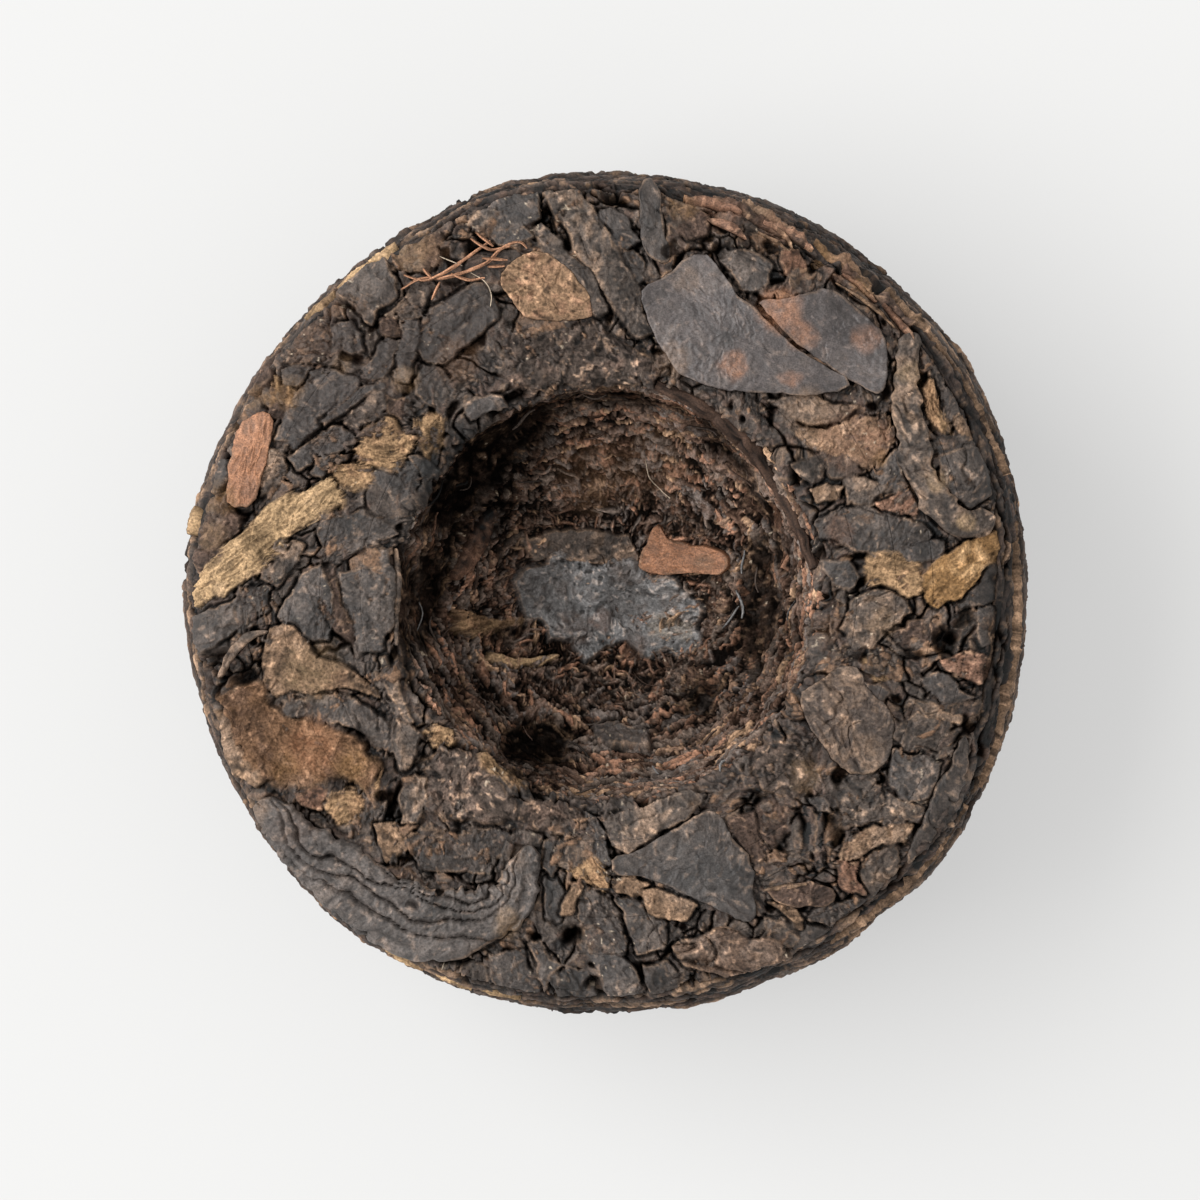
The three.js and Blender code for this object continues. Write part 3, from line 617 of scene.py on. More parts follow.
    (0.05, [11.3, 0.8, 11.6, 1.3, 12.4, 1.7, 13.2, 2.1, 14, 2.2, 14.3, 2, 13.9, 1.5, 13.3, 1, 12.7, 0.3,
        12.2, -0.3, 11.6, -0.5, 11.2, -0.2, 11.1, 0.3]),
], "straw": [
    (0.05, [-8.7, 5.9, -8, 6.2, -7.4, 5.8, -7, 5.5, -7, 5, -7.6, 4.4, -8.8, 4.6, -9.1, 5.1]),
    (0, [-6.9, 6.1, -6.2, 6.3, -5.9, 6.1, -5.9, 5.3, -6.3, 4.9, -6.9, 5.3]),
    (0, [-12, 7.9, -11.8, 7.8, -11.75, 7.2, -11.95, 7.4]),
    (0, [-11.5, 7.4, -11.1, 7.2, -11.1, 6.7, -11.4, 6.8]),
    (0, [10.9, 7.3, 11.2, 7.5, 11.35, 6.8, 11.7, 6.1, 11.9, 5.7, 11.5, 5.7, 11.1, 6.2]),
    (0, [9, 1.3, 10.2, 1.35, 10.9, 1, 11.1, 0.2, 10.6, 0, 9.7, 0.3, 9.2, 0.3]),
    (0, [9, -2.4, 9.5, -2.6, 9.8, -2.9, 9.3, -3]),
    (0, [-9.8, -7.1, -9, -6.9, -8.7, -7.2, -8.9, -7.8, -9.5, -8, -9.9, -7.5]),
    (0, [-4.6, -5.7, -4.4, -5.6, -3.8, -6.1, -3.2, -6.5, -3.1, -6.8, -3.8, -6.5, -4.5, -6.1]),
    (0, [-9, -5.8, -8.3, -5.6, -8, -6.2, -8.3, -6.8, -9.1, -6.6]),
    (0, [-9.8, 4.4, -9.2, 4.6, -8.5, 4.4, -8.4, 3.9, -9.1, 3.6, -9.7, 3.8]),
    (0, [-6.5, -4.9, -6.1, -4.6, -5.6, -4.9, -5.4, -5.3, -6.2, -5.5]),
    (0, [-5.2, -0.6, -4.4, -0.9, -3.3, -1, -4.2, -1.35, -4.6, -1.5, -5.3, -1.2]),
    (0, [-1.4, -9.8, -0.7, -9.3, -0.4, -9.5, 0, -10.3, -0.2, -10.5, -0.9, -10.2]),
], "tan": [
    (0, [12.1, 6.1, 12.9, 6.7, 13, 6.2, 13.1, 5.6, 12.6, 5.5, 12.3, 5.7]),
    (0, [6.3, 5.9, 7.6, 5.7, 8.8, 6.2, 9.8, 6.1, 10, 5.4, 9.6, 4.9, 9.2, 4.4, 8.4, 4.7, 7.7, 4.9, 6.9, 5.2]),
    (0, [7, 3.5, 7.6, 3.8, 8.1, 3.6, 7.9, 3.3, 7.2, 3.2]),
    (0.05, [8.2, -8.5, 9, -8.2, 9.9, -8.1, 10.6, -8.2, 10.3, -8.6, 9.3, -8.7, 8.5, -9.1, 8.1, -9.2]),
    (0, [5.7, -10.9, 6.3, -11, 6.8, -11.4, 6.7, -11.8, 6.2, -11.4]),
    (0, [-1.2, -10.2, -1, -10.4, -1.5, -11.2, -1.8, -11.2, -1.5, -10.7]),
    (0, [0.1, -10.1, 0.8, -10, 1.4, -10.3, 1.1, -10.6, 0.3, -10.5]),
    (0.05, [1.2, -10.6, 1.9, -10.5, 2.4, -10.8, 3, -11, 2.6, -11.5, 2, -11.5, 1.5, -11.2]),
    (0, [-8.2, -8.1, -7.5, -8, -6.9, -8.4, -7.1, -9, -7.7, -9.3, -8, -8.8]),
    (0.05, [-11.8, -1.3, -11.2, -1.2, -10.6, -1.7, -10.3, -2.2, -9.4, -2.4, -8.8, -2.8, -8, -3.6, -8.6, -3.4,
        -9.4, -3.3, -10.4, -3.4, -11.2, -3.4, -11.6, -3.6, -11.9, -2.9, -12, -2.1]),
], "rust": [
    (0, [9.3, 3.2, 10, 3.45, 10.6, 3.4, 10.7, 2.95, 9.9, 2.95]),
    (0, [11.7, -2.4, 12.6, -2.2, 13.5, -2.4, 13.7, -2.8, 13.2, -3.1, 12.5, -2.9, 11.9, -2.8]),
    (0, [6.2, 12.1, 6.7, 12.1, 6.9, 11.5, 6.6, 11.1, 6.1, 11.2, 6, 11.6]),
    (0, [8, -9.3, 8.6, -9.3, 8.6, -10, 8.9, -10.4, 8.3, -10.5, 8, -10]),
    (0, [-11, -7, -10.4, -6.6, -10, -6.9, -10.1, -7.5, -10.8, -7.3]),
], "gold": [
    (0.1, [-3.95, 11.1, -3.4, 11.7, -2.9, 12, -2.3, 12.05, -1.7, 11.6, -0.95, 10.9, -0.6, 10.1, -0.65, 9.6,
        -1.9, 9.6, -2.8, 9.55, -3.2, 10, -3.7, 10.6]),
], "copper": [
    (0.1, [-12.1, 6.5, -11.85, 6, -12.15, 4.2, -12.45, 3.05, -13.35, 3, -13.4, 4, -13.1, 5.5, -12.75, 6.2]),
    (0.1, [1.5, 2.4, 1.8, 2.5, 2, 2.1, 2.4, 1.85, 3.5, 1.75, 4.2, 1.4, 4.3, 1.15, 4.1, 0.75, 3.9, 0.7,
        2.9, 0.75, 1.8, 0.7, 1.1, 0.9, 1, 1.1, 1.3, 1.7]),
# The nearly black leaves that follow paint black shade over the shadowed parts of the hollow
], "soot": [
    (0, [-6.7, 2.2, -6.2, 3.4, -5.3, 4.7, -4.2, 5.7, -2.8, 6.4, -2, 6.2, -2.4, 5.4, -3.4, 4.7, -4.2, 3.9,
        -4.9, 3.1, -5.6, 2.2]),
    (0, [-6.5, 1.4, -6, 1.6, -5.7, 0.6, -6, -0.8, -6.2, -2.2, -6.6, -2, -6.6, -0.4]),
    (0, [4.7, 1.6, 5.3, 2, 5.8, 1, 6, -0.4, 5.7, -1.8, 5, -2.6, 4.6, -1.8, 4.9, -0.4]),
    (0, [2.4, -3.4, 3.4, -2.9, 3.9, -3.2, 3.4, -3.9, 2.6, -4.2]),
    (0, [-3.4, -4.7, -2.4, -4.4, -1.2, -4.9, -1.6, -5.8, -2.8, -5.8, -3.6, -5.4]),
    (0, [-4, -1.3, -3.2, -1.1, -3.3, -1.5, -4.4, -1.9]),
], "felt": [
    (0, [-13.7, -3.7, -13, -3.2, -12, -3.1, -11.9, -4, -10.8, -4.4, -9.5, -4.8, -8.6, -5.3, -8.1, -6,
        -8.6, -6.7, -9.4, -6.3, -10.3, -6.6, -11.4, -6.7, -12.4, -6.3, -13.1, -5.3]),
]}

# Stalks, folded strips and leaf edges, by kind: how far each stands up more than its kind does, its width,
# how far it tapers at either end as a share of its width, and its middle line in the same form
# The nearly black strips paint black shade along the hollow's lip; two more lie along the right rim
STRIPS = {"soot": [
    (0, 0.4, (0.7, 0.7), [-2.4, 6.4, -1.2, 6.7, 0.4, 6.8, 1.8, 6.5]),
    (0, 0.35, (0.7, 0.7), [2.1, 6.5, 3.2, 5.8, 4.3, 4.7, 5.2, 3.4, 6, 1.9, 6.4, 0.6]),
    (0, 0.45, (0.6, 0.6), [-7.1, 1.6, -7, 0.2, -7.1, -1.4, -7, -3.2]),
    (0, 0.45, (0.7, 0.7), [13.7, 1.4, 13.85, -0.4, 13.75, -2.6, 13.2, -5]),
    (0, 0.2, (0.7, 0.7), [13, -5.6, 12.6, -6.8, 11.9, -8.1, 11, -9.3]),
], "slate": [
    (0.05, 0.35, (0.7, 0.6), [-10.1, 6.1, -9.3, 6.7, -8.8, 7.2, -8, 7.35]),
    (0.05, 0.25, (0.5, 0.6), [-7.8, 1.5, -7.7, 0, -7.8, -1.2]),
], "pale_slate": [
    (0.15, 2.5, (0.5, 0.55), [-12.2, -7.2, -10.6, -9, -8.6, -10.7, -6.5, -11.6, -4.6, -11.5, -3.2, -10.7,
        -2.8, -8.8]),
], "dark_slate": [
    (0.05, 0.8, (0.6, 0.5), [-11.4, -4, -10.2, -4, -9.2, -4.1, -8.3, -4.6, -7.6, -5.5]),
    (0.1, 0.9, (0.5, 0.6), [12.5, -5, 12.2, -6.2, 11.6, -7.5, 10.8, -8.8, 10.4, -9.4]),
], "bark": [
    (0.08, 1.2, (0.2, 0.5), [-1.9, 14.4, -1, 13, -0.3, 11.8, 0.4, 10.6, 1.2, 9]),
    (0.06, 0.7, (0.4, 0.5), [-2.6, 12.9, -1.8, 11.9, -0.9, 10.8, -0.2, 9.8]),
    (0.25, 1.1, (0.3, 0.1), [10.5, 9.1, 10.3, 7.8, 10.3, 6.4, 10.6, 5, 11, 3.8, 11.7, 2.8, 12.6, 2.4,
        13.5, 2.7]),
    (0.1, 0.2, (0.5, 0.5), [-7.5, 1.6, -7.4, 0.4, -7.5, -0.8, -7.45, -1.8]),
    (0.05, 0.35, (0.5, 0.5), [-7.9, -2.1, -7.6, -3, -7.3, -3.9, -7, -4.4]),
    (0.1, 0.35, (0.5, 0.5), [-13.6, -2.9, -13.2, -2, -12.5, -1.4, -11.9, -1.3]),
], "umber": [
    (0.1, 0.35, (0.6, 0.6), [3.6, 13.9, 5.4, 13.2, 7.1, 12.3]),
    (0.1, 0.3, (0.6, 0.6), [8.3, 11.6, 9.6, 10.5, 10.6, 9.4]),
    (0, 0.7, (0.5, 0.6), [13.3, -5.2, 12.9, -6.6, 12.2, -8, 11.3, -9.2]),
    (0.1, 0.35, (0.6, 0.6), [-13, 7.9, -12.6, 8.5, -12.15, 9]),
], "ochre": [
    (0.3, 0.5, (0.4, 0.4), [-14.85, 2.1, -15, 2.6, -14.8, 3.15]),
    (0.1, 0.4, (0.6, 0.6), [-11.2, 10.1, -10.7, 10.6, -10, 11]),
    (0.12, 0.5, (0.6, 0.7), [-9.8, 11, -9.2, 11.7, -8.7, 12]),
    (0.1, 0.3, (0.6, 0.6), [-8.8, 12.1, -8.2, 12.3, -7.7, 12.6]),
    (0.1, 0.3, (0.6, 0.6), [-8.1, -12.6, -7.2, -13.1, -6.6, -13.3]),
    (0.12, 0.25, (0.6, 0.6), [-6.3, -13.4, -5.4, -13.9, -4.9, -14]),
    (0.1, 0.3, (0.6, 0.6), [-4.6, -14.1, -3.9, -14.4, -3.2, -14.5]),
    (0.09, 1.35, (0.75, 0.3), [-14.8, -0.5, -13.6, 0.6, -12.4, 1.7, -11.2, 2.8, -9.6, 3.6]),
    (0, 0.3, (0.6, 0.6), [-4.4, -2.3, -3.2, -2.5, -1.8, -2.2]),
], "tan": [
    (0.05, 0.5, (0.5, 0.5), [-14, -4.2, -13.4, -5.2, -12.8, -6, -12.3, -6.6]),
    (0.15, 0.2, (0.5, 0.5), [5.4, -10.4, 6.2, -10.3, 6.9, -10.15]),
    (0.12, 0.3, (0.7, 0.7), [14.5, 2.6, 14.75, 0.4, 14.6, -2, 14.1, -4.6, 13.2, -6.9]),
    (0.1, 0.22, (0.7, 0.7), [7.3, 12.6, 9.6, 10.9, 11.6, 8.8, 13, 6.6, 14, 4.2]),
    (0.1, 0.2, (0.7, 0.7), [12.7, -7.5, 11.4, -9.3, 9.7, -11, 7.8, -12.4]),
    (0.14, 0.16, (0.6, 0.6), [4.6, 13.7, 5.6, 13.4, 6.4, 12.8]),
    (0.14, 0.18, (0.6, 0.6), [7.4, 12.4, 8.3, 11.9, 9.3, 11]),
    (0.1, 0.18, (0.6, 0.6), [7.9, 10.9, 9, 10.3, 10, 9.3]),
    (0.1, 0.14, (0.5, 0.5), [5.2, 12.7, 5.9, 12.4, 6.3, 12]),
    (0.1, 0.14, (0.5, 0.5), [5.9, 12.9, 6.3, 12.6, 6.4, 12.1]),
], "rust": [
    (0.12, 0.22, (0.6, 0.6), [2.6, 14, 3.7, 13.8, 4.6, 13.3]),
    (0.1, 0.3, (0.6, 0.6), [3.4, 13.1, 4.2, 12.9, 4.8, 12.4]),
    (0.12, 0.2, (0.6, 0.6), [5.4, 13.1, 6.3, 12.9, 7.2, 12.2]),
    (0.12, 0.25, (0.6, 0.6), [8.2, 11.3, 8.9, 11, 9.4, 10.3]),
    (0.12, 0.2, (0.6, 0.6), [9.6, 10.2, 10.2, 9.6, 10.6, 8.8]),
    (0.15, 0.6, (0.5, 0.5), [-4.2, 3.1, -4.6, 2.1, -5, 1.4, -5.6, 0.5]),
]}

# Rootlets and lint on the face and the dark twig at the lip: their middle lines, in the same form
ROOTLETS = (
    [-7.4, 10.8, -6.7, 11.2, -6, 11.1, -5, 11.35, -4.3, 11.6, -3.9, 12.1, -3.2, 12.4,
     -2.9, 12.1],
    [-6.6, 11.5, -6.3, 11.15],
    [-6, 11, -6.3, 10.4],
    [-4.7, 12.7, -4.1, 12.2],
    [-4.5, 11.8, -3.6, 11.7],
    [-4.3, 11.5, -3.7, 11.5],
    [-7.3, 11.3, -6.5, 11, -5.7, 11.4, -4.9, 11.9, -4.2, 12.4],
    [-5.6, 11.3, -5, 11, -4.4, 11.1],
    [-4.9, 12.5, -4.2, 12, -3.5, 12.2],
)
LINT = (
    [-4.9, 11.3, -4.35, 11, -4.15, 10.5, -4.2, 10.1],
    [-6, 11.9, -5.2, 11.55],
    [-1.3, 11.8, -0.9, 11.9],
    [1.3, 4.9, 1.45, 4.1, 2.2, 3.5],
)
TWIGS = (
    [1.6, 7.3, 3.1, 6.7, 4.4, 5.75, 5.4, 4.6, 6.3, 3.2, 6.9, 1.8, 7.2, 0.9],
)
# These threads: name, middle lines, radius and lift in mm, and number of sides
THREADS = (
    ("rootlet", ROOTLETS, 0.06, 0.17, 6),
    ("lint", LINT, 0.02, 0.17, 6),
    ("twig", TWIGS, 0.3, 0.0, 24),
)
THREAD_STEP = 0.12
THREAD_WAVE = 0.08
THREAD_FLAT = 0.8
THREAD_GLOSS = 0.2
THREAD_END = 0.3
# Their streaks: number round a thread, how fast they change along it, and their share
THREAD_STREAKS = ((12, 0.2, 1.0), (24, 0.4, 0.8))
THREAD_ROUGH = 0.2
THREAD_SHADE = 0.8

# Shreds in the hollow: kinds of leaf, number, where they start, length and width in mm, how flat they are,
# and how many steps and sides each has
SHRED_KINDS = ("soot", "umber", "crumble", "crumble", "bark", "umber", "rust", "felt", "mist")
SHRED_COUNT = 60
SHRED_START = 3.2
SHRED_LENGTH = 1.2
SHRED_WIDTH = 0.12
SHRED_FLAT = 0.4
SHRED_STEPS = 6
SHRED_SIDES = 4
# Ranges of their length and width as shares of these, of their height in mm and of their tone, and how far
# their heading, bend and waves vary
SHRED_LENGTHS = (0.3, 1)
SHRED_WIDTHS = (0.15, 0.5)
SHRED_HEIGHTS = (-0.14, 0.06)
SHRED_TONES = (0.3, 1.3)
SHRED_HEADING = 0.5
SHRED_BEND = 0.12
SHRED_WAVE = 0.12

# The stage: glow of the floor, the window light, the room's light and the camera, in metres
FLOOR_GLOW = 0.43
WINDOW_PLACE = (-0.72, 0.14, 0.6)
WINDOW_SIZE = 0.95
WINDOW_POWER = 14.5
ROOM_COLOUR = (1.0, 0.995, 0.985, 1)
ROOM_STRENGTH = 0.85
CAMERA_ASIDE = (-0.00035, -0.00021)
CAMERA_DISTANCE = 0.25
FRAME_WIDTH = 0.0421


def linear(code):
    """An sRGB hex code as linear red, green and blue."""
    shares = [int(code[place:place + 2], 16) / 255 for place in (1, 3, 5)]
    return tuple(x / 12.92 if x <= 0.04045 else ((x + 0.055) / 1.055) ** 2.4 for x in shares)


def length(name, description, millimetres):
    """A length setting, given in millimetres."""
    return bpy.props.FloatProperty(
        name=name, description=description, default=millimetres * MM, unit="LENGTH", precision=5
    )


def colour(name, description, code):
    """A colour setting, given as an sRGB hex code."""
    return bpy.props.FloatVectorProperty(
        name=name, description=description, subtype="COLOR", size=3, min=0, max=1, default=linear(code)
    )


class TuochaSizes(bpy.types.PropertyGroup):
    """Sizes of the pressed nest and of what lies on it."""

    cake_diameter: length("Across", "Width of the nest at its widest", 30)
    cake_height: length("Height", "From the foot to the face", 13)
    foot_diameter: length("Foot", "Width of the flat spot that it rests on", 11)
    widest_height: length("Widest at", "Height at which it is widest", 8)
    shoulder_draft: length("Shoulder draft", "How far the side leans in up to the shoulder", 0.5)
    shoulder_drop: length("Shoulder drop", "How far the shoulder lies under the face", 0.9)
    face_diameter: length("Face", "Width of the flat face", 26.8)
    lip_diameter: length("Lip", "Width of the hollow at its lip", 14.4)
    lip_rounding: length("Lip rounding", "How far the lip is rounded over", 0.8)
    hollow_depth: length("Hollow depth", "From the face to the hollow's floor", 6.4)
    floor: length("Floor", "Width of the floor", 1600)


class TuochaColours(bpy.types.PropertyGroup):
    """Colours of the leaf, by kind, and of the floor."""

    slate: colour("Slate", "Smooth grey leaf", "#3e3733")
    pale_slate: colour("Pale slate", "Wrinkled grey leaf", "#4e4743")
    dark_slate: colour("Dark slate", "Dark grey leaf", "#38302b")
    bark: colour("Bark", "Grey-brown leaf", "#4e443d")
    umber: colour("Umber", "Dark brown leaf", "#4d3d34")
    # Nearly black: dark leaf, and also the black painted as shade in the hollow's gaps, over its shadowed
    # parts and along its lip
    soot: colour("Soot", "Nearly black leaf", "#090706")
    twig: colour("Twig", "Dark stalk at the lip", "#35271f")
    crumble: colour("Crumble", "Crumbly dark leaf", "#4d423b")
    ochre: colour("Ochre", "Golden stalk and leaf bud", "#ab8e6c")
    # Also the pale colour of the painted highlights on the leaves' edges and specks
    tan: colour("Tan", "Tan leaf", "#7a624e")
    rust: colour("Rust", "Red-brown leaf", "#7a5a48")
    gold: colour("Gold", "Golden leaf", "#80664f")
    copper: colour("Copper", "Bright red-brown leaf", "#986b4f")
    amber: colour("Amber", "Golden orange leaf", "#7d5f3e")
    straw: colour("Straw", "Fuzzy golden tuft", "#866c51")
    mist: colour("Mist", "Grey leaf in the hollow", "#72706f")
    smooth_slate: colour("Smooth slate", "Smooth grey leaf, stained brown", "#4b4442")
    ridged: colour("Ridged", "Brown leaf with ridges", "#5a483c")
    felt: colour("Felt", "Fuzzy brown underside of a leaf", "#674e3b")
    core: colour("Core", "Packed leaf dust between the leaves", "#33261f")
    rootlet: colour("Rootlet", "Thin roots on the face", "#966e55")
    # Also the colour of the painted glints and of a painted highlight on the hollow's grey leaf
    lint: colour("Lint", "Pale loose hairs", "#b9a893")
    floor: colour("Floor", "The floor under the nest", "#969695")


def smoothstep(value, low, high):
    """Rises smoothly from 0 at low to 1 at high."""
    share = np.clip((value - low) / (high - low), 0.0, 1.0)
    return share * share * (3 - 2 * share)


def mulberry(seed):
    """The same stream of random numbers from 0 to 1 that the solid's lumps are drawn from."""
    mask = 0xFFFFFFFF
    state = seed
    while True:
        state = (state + 0x6D2B79F5) & mask
        mixed = ((state ^ (state >> 15)) * (1 | state)) & mask
        mixed = ((mixed + (((mixed ^ (mixed >> 7)) * (61 | mixed)) & mask)) & mask) ^ mixed
        yield ((mixed ^ (mixed >> 14)) & mask) / 4294967296


def corner_value(column, row, seed):
    """A fixed random number from -1 to 1 for each corner of a lattice."""
    mask = 0xFFFFFFFF
    mixed = (column * 374761393 + row * 668265263 + seed * 974711) & mask
    mixed = ((mixed ^ (mixed >> 13)) * 1274126177) & mask
    return ((mixed ^ (mixed >> 16)) & 0xFFFF) / 32767.5 - 1


def noise(x, y, seed, wrap=None):
    """Smooth noise from -1 to 1 over a lattice of unit cells, which repeats after wrap columns."""
    x, y = np.broadcast_arrays(np.asarray(x, float), np.asarray(y, float))
    column, row = np.floor(x).astype(np.int64), np.floor(y).astype(np.int64)
    across, up = smoothstep(x - column, 0, 1), smoothstep(y - row, 0, 1)
    here, following = (column % wrap, (column + 1) % wrap) if wrap else (column, column + 1)
    low = corner_value(here, row, seed) * (1 - across) + corner_value(following, row, seed) * across
    high = corner_value(here, row + 1, seed) * (1 - across) + corner_value(following, row + 1, seed) * across
    return low * (1 - up) + high * up


def bezier(*points):
    """Points along a Bezier curve, close together."""
    points = np.array(points, float)
    degree = len(points) - 1
    t = np.linspace(0, 1, 200)[:, None]
    return sum(
        math.comb(degree, k) * t**k * (1 - t) ** (degree - k) * points[k] for k in range(degree + 1)
    )


class Form:
    """The pressed nest without its leaves, in millimetres: where a spot on its surface really lies."""

    def __init__(self, sizes):
        radius, top = sizes.cake_diameter / MM / 2, sizes.cake_height / MM
        foot, face = sizes.foot_diameter / MM / 2, sizes.face_diameter / MM / 2
        lip, rounding = sizes.lip_diameter / MM / 2, sizes.lip_rounding / MM
        depth, widest = sizes.hollow_depth / MM, sizes.widest_height / MM
        draft, shoulder = sizes.shoulder_draft / MM, top - sizes.shoulder_drop / MM
        floor = top - depth
        wall_end = (lip - LIP_LEAN * rounding, top - rounding)
        section = np.concatenate([
            bezier((0, floor), (FLOOR_REACH * lip, floor), (WALL_REACH * lip, floor + WALL_RISE * depth),
                   wall_end),
            bezier(wall_end, (lip, top), (lip + rounding, top)),
            bezier((lip + rounding, top), (face, top)),
            bezier((face, top), (radius - draft, top), (radius - draft, shoulder)),
            bezier((radius - draft, shoulder), (radius, SIDE_RISE * shoulder), (radius, widest)),
            bezier((radius, widest), (radius, BELLY_RISE * widest), (CROWN_REACH * radius, 0), (foot, 0)),
            bezier((foot, 0), (0, 0)),
        ])
        steps = np.hypot(*np.diff(section, axis=0).T)
        section = section[np.concatenate([[True], steps > 1e-9])]
        reach = reach_along(section)
        self.along = np.arange(0, reach[-1], SECTION_STEP)
        self.across = np.interp(self.along, reach, section[:, 0])
        self.up = np.interp(self.along, reach, section[:, 1])
        turn = np.arctan2(np.gradient(self.up), np.gradient(self.across))
        self.lean_across, self.lean_up = -np.sin(turn), np.cos(turn)
        self.radius, self.top, self.widest, self.length = radius, top, widest, reach[-1]
        self.lip = lip
        self.mapped = int(np.argmax(self.across > radius - draft - MAP_MARGIN))
        stream = mulberry(SOLID_SEED)
        self.lobes = [(count, 2 * math.pi * next(stream)) for count in LOBES]
        self.lumps = []
        for _ in range(LUMP_COUNT):
            wave = Vector([next(stream) - 0.5 for _ in range(3)]).normalized()
            self.lumps.append((np.array(wave) * 2 * math.pi / LUMP_LENGTH, 2 * math.pi * next(stream)))

    def at_radius(self, radius):
        """How far along the section, out from the hollow's centre, the face reaches this radius."""
        end = self.mapped
        beyond = np.maximum(radius - self.across[end], 0)
        return np.interp(radius, self.across[:end], self.along[:end]) + MAP_SLOPE * beyond

    def sink(self, x, y):
        """How deep the surface has sunk at a spot seen from above, in dents and holes with ragged edges."""
        torn = Spots(x, y).shaken(LEAF_TEARS, HOLE_SEED, HOLE_TEAR)
        depth = np.zeros_like(x)
        for centre_x, centre_y, radius, deep in DENTS + HOLES:
            away = np.hypot(torn.x - centre_x, torn.y - centre_y) / radius
            depth = np.maximum(depth, deep * (1 - smoothstep(away, *SINK_SLOPE)))
        return depth

    def settle(self, points):
        """Where the pressed leaf really lies: out of round, lumpy, and worn down at one shoulder."""
        x, y, z = np.moveaxis(points, -1, 0)
        radius, azimuth = np.hypot(x, y), np.arctan2(y, x)
        lobed = sum(np.cos(count * azimuth + phase) for count, phase in self.lobes)
        lumpy = sum(np.sin(points @ wave + phase) for wave, phase in self.lumps)
        spread = 1 + OUT_OF_ROUND * lobed * radius / self.radius / (2 * self.radius)
        facing = np.maximum(0, np.cos(azimuth - WORN_AZIMUTH))
        outer = smoothstep(radius, WORN_START, self.radius)
        worn = facing * smoothstep(z, self.widest, self.top) * outer
        lift = LUMP_HEIGHT * lumpy / math.sqrt(LUMP_COUNT) - WORN_DROP * worn
        height = np.maximum(z + smoothstep(z, 0, 1) * lift, 0)
        return np.stack([x * spread, y * spread, height], -1)

    def place(self, along, azimuth, stand):
        """Points that stand this far out of the surface."""
        across = np.interp(along, self.along, self.across)
        up = np.interp(along, self.along, self.up)
        x, y = across * np.cos(azimuth), across * np.sin(azimuth)
        stand = stand - np.where(along < self.along[self.mapped] + SINK_REACH, self.sink(x, y), 0)
        across = across + stand * np.interp(along, self.along, self.lean_across)
        up = up + stand * np.interp(along, self.along, self.lean_up)
        return self.settle(np.stack([across * np.cos(azimuth), across * np.sin(azimuth), up], -1))

    def from_above(self, spots, stand):
        """Points over spots (x, y) that are given as seen from above."""
        x, y = np.moveaxis(spots, -1, 0)
        return self.place(self.at_radius(np.hypot(x, y)), np.arctan2(y, x), stand)


class Batch:
    """Closed shells of one kind, which are joined in one mesh."""

    def __init__(self):
        self.count = 0
        self.points, self.faces, self.tints, self.glosses = [], [], [], []

    def add(self, points, faces, look):
        """Adds one shell with its looks, which has a row for each point."""
        self.points.append(points)
        self.faces.append(faces + self.count)
        self.tints.append(np.concatenate([look.tint, np.ones((len(points), 1))], 1))
        self.glosses.append(look.gloss)
        self.count += len(points)

    def piece(self, name, material):
        """The joined mesh as a piece of the object, in metres."""
        points = np.concatenate(self.points) * MM
        faces = np.concatenate(self.faces)
        mesh = bpy.data.meshes.new(name)
        mesh.vertices.add(len(points))
        mesh.vertices.foreach_set("co", points.ravel())
        mesh.loops.add(faces.size)
        mesh.loops.foreach_set("vertex_index", faces.ravel().astype(np.int32))
        mesh.polygons.add(len(faces))
        mesh.polygons.foreach_set("loop_start", np.arange(0, faces.size, 3, dtype=np.int32))
        for attribute, kind, field, rows in (
            ("leaf_tint", "FLOAT_COLOR", "color", self.tints), ("leaf_gloss", "FLOAT", "value", self.glosses),
        ):
            values = mesh.attributes.new(attribute, kind, "POINT").data
            values.foreach_set(field, np.concatenate(rows).ravel())
        mesh.update(calc_edges=True)
        mesh.validate()
        mesh.shade_smooth()
        mesh.materials.append(material)
        piece = bpy.data.objects.new(name, mesh)
        bpy.context.collection.objects.link(piece)
        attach(piece, BODY)
        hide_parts(NODE)


def spots_of(numbers):
    """Spots seen from above that are given as x and y in turn."""
    return np.array(numbers, float).reshape(-1, 2)


def smooth_line(numbers, closed):
    """Cuts the corners of an outline once, or those of a line twice. A line keeps its ends."""
    points = spots_of(numbers)
    for _ in range(1 if closed else 2):
        following = np.roll(points, -1, axis=0)
        cut = np.stack([0.75 * points + 0.25 * following, 0.25 * points + 0.75 * following], 1)
        cut = cut.reshape(-1, 2)
        points = cut if closed else np.concatenate([points[:1], cut[1:-3], points[-1:]])
    return points


def reach_along(points):
    """How far along a line each of its points lies."""
    return np.concatenate([[0], np.cumsum(np.hypot(*np.diff(points, axis=0).T))])


def beside(line):
    """Which way is left of a line seen from above, at each of its points."""
    way = np.gradient(line, axis=0)
    way = way / np.hypot(*way.T)[:, None]
    return np.stack([-way[:, 1], way[:, 0]], -1)


def spaced(points, closed, step, least):
    """Points evenly spaced along a line or outline."""
    if closed:
        points = np.concatenate([points, points[:1]])
    reach = reach_along(points)
    count = max(least, int(math.ceil(reach[-1] / step)))
    marks = np.linspace(0, reach[-1], count + 1)
    marks = marks[:-1] if closed else marks
    return np.stack([np.interp(marks, reach, points[:, axis]) for axis in (0, 1)], -1)


def middle(outline):
    """Centre of area of an outline, and its signed area."""
    x, y = outline.T
    following_x, following_y = np.roll(x, -1), np.roll(y, -1)
    turn = x * following_y - following_x * y
    area = turn.sum() / 2
    centre = np.array([((x + following_x) * turn).sum(), ((y + following_y) * turn).sum()]) / (6 * area)
    return centre, area


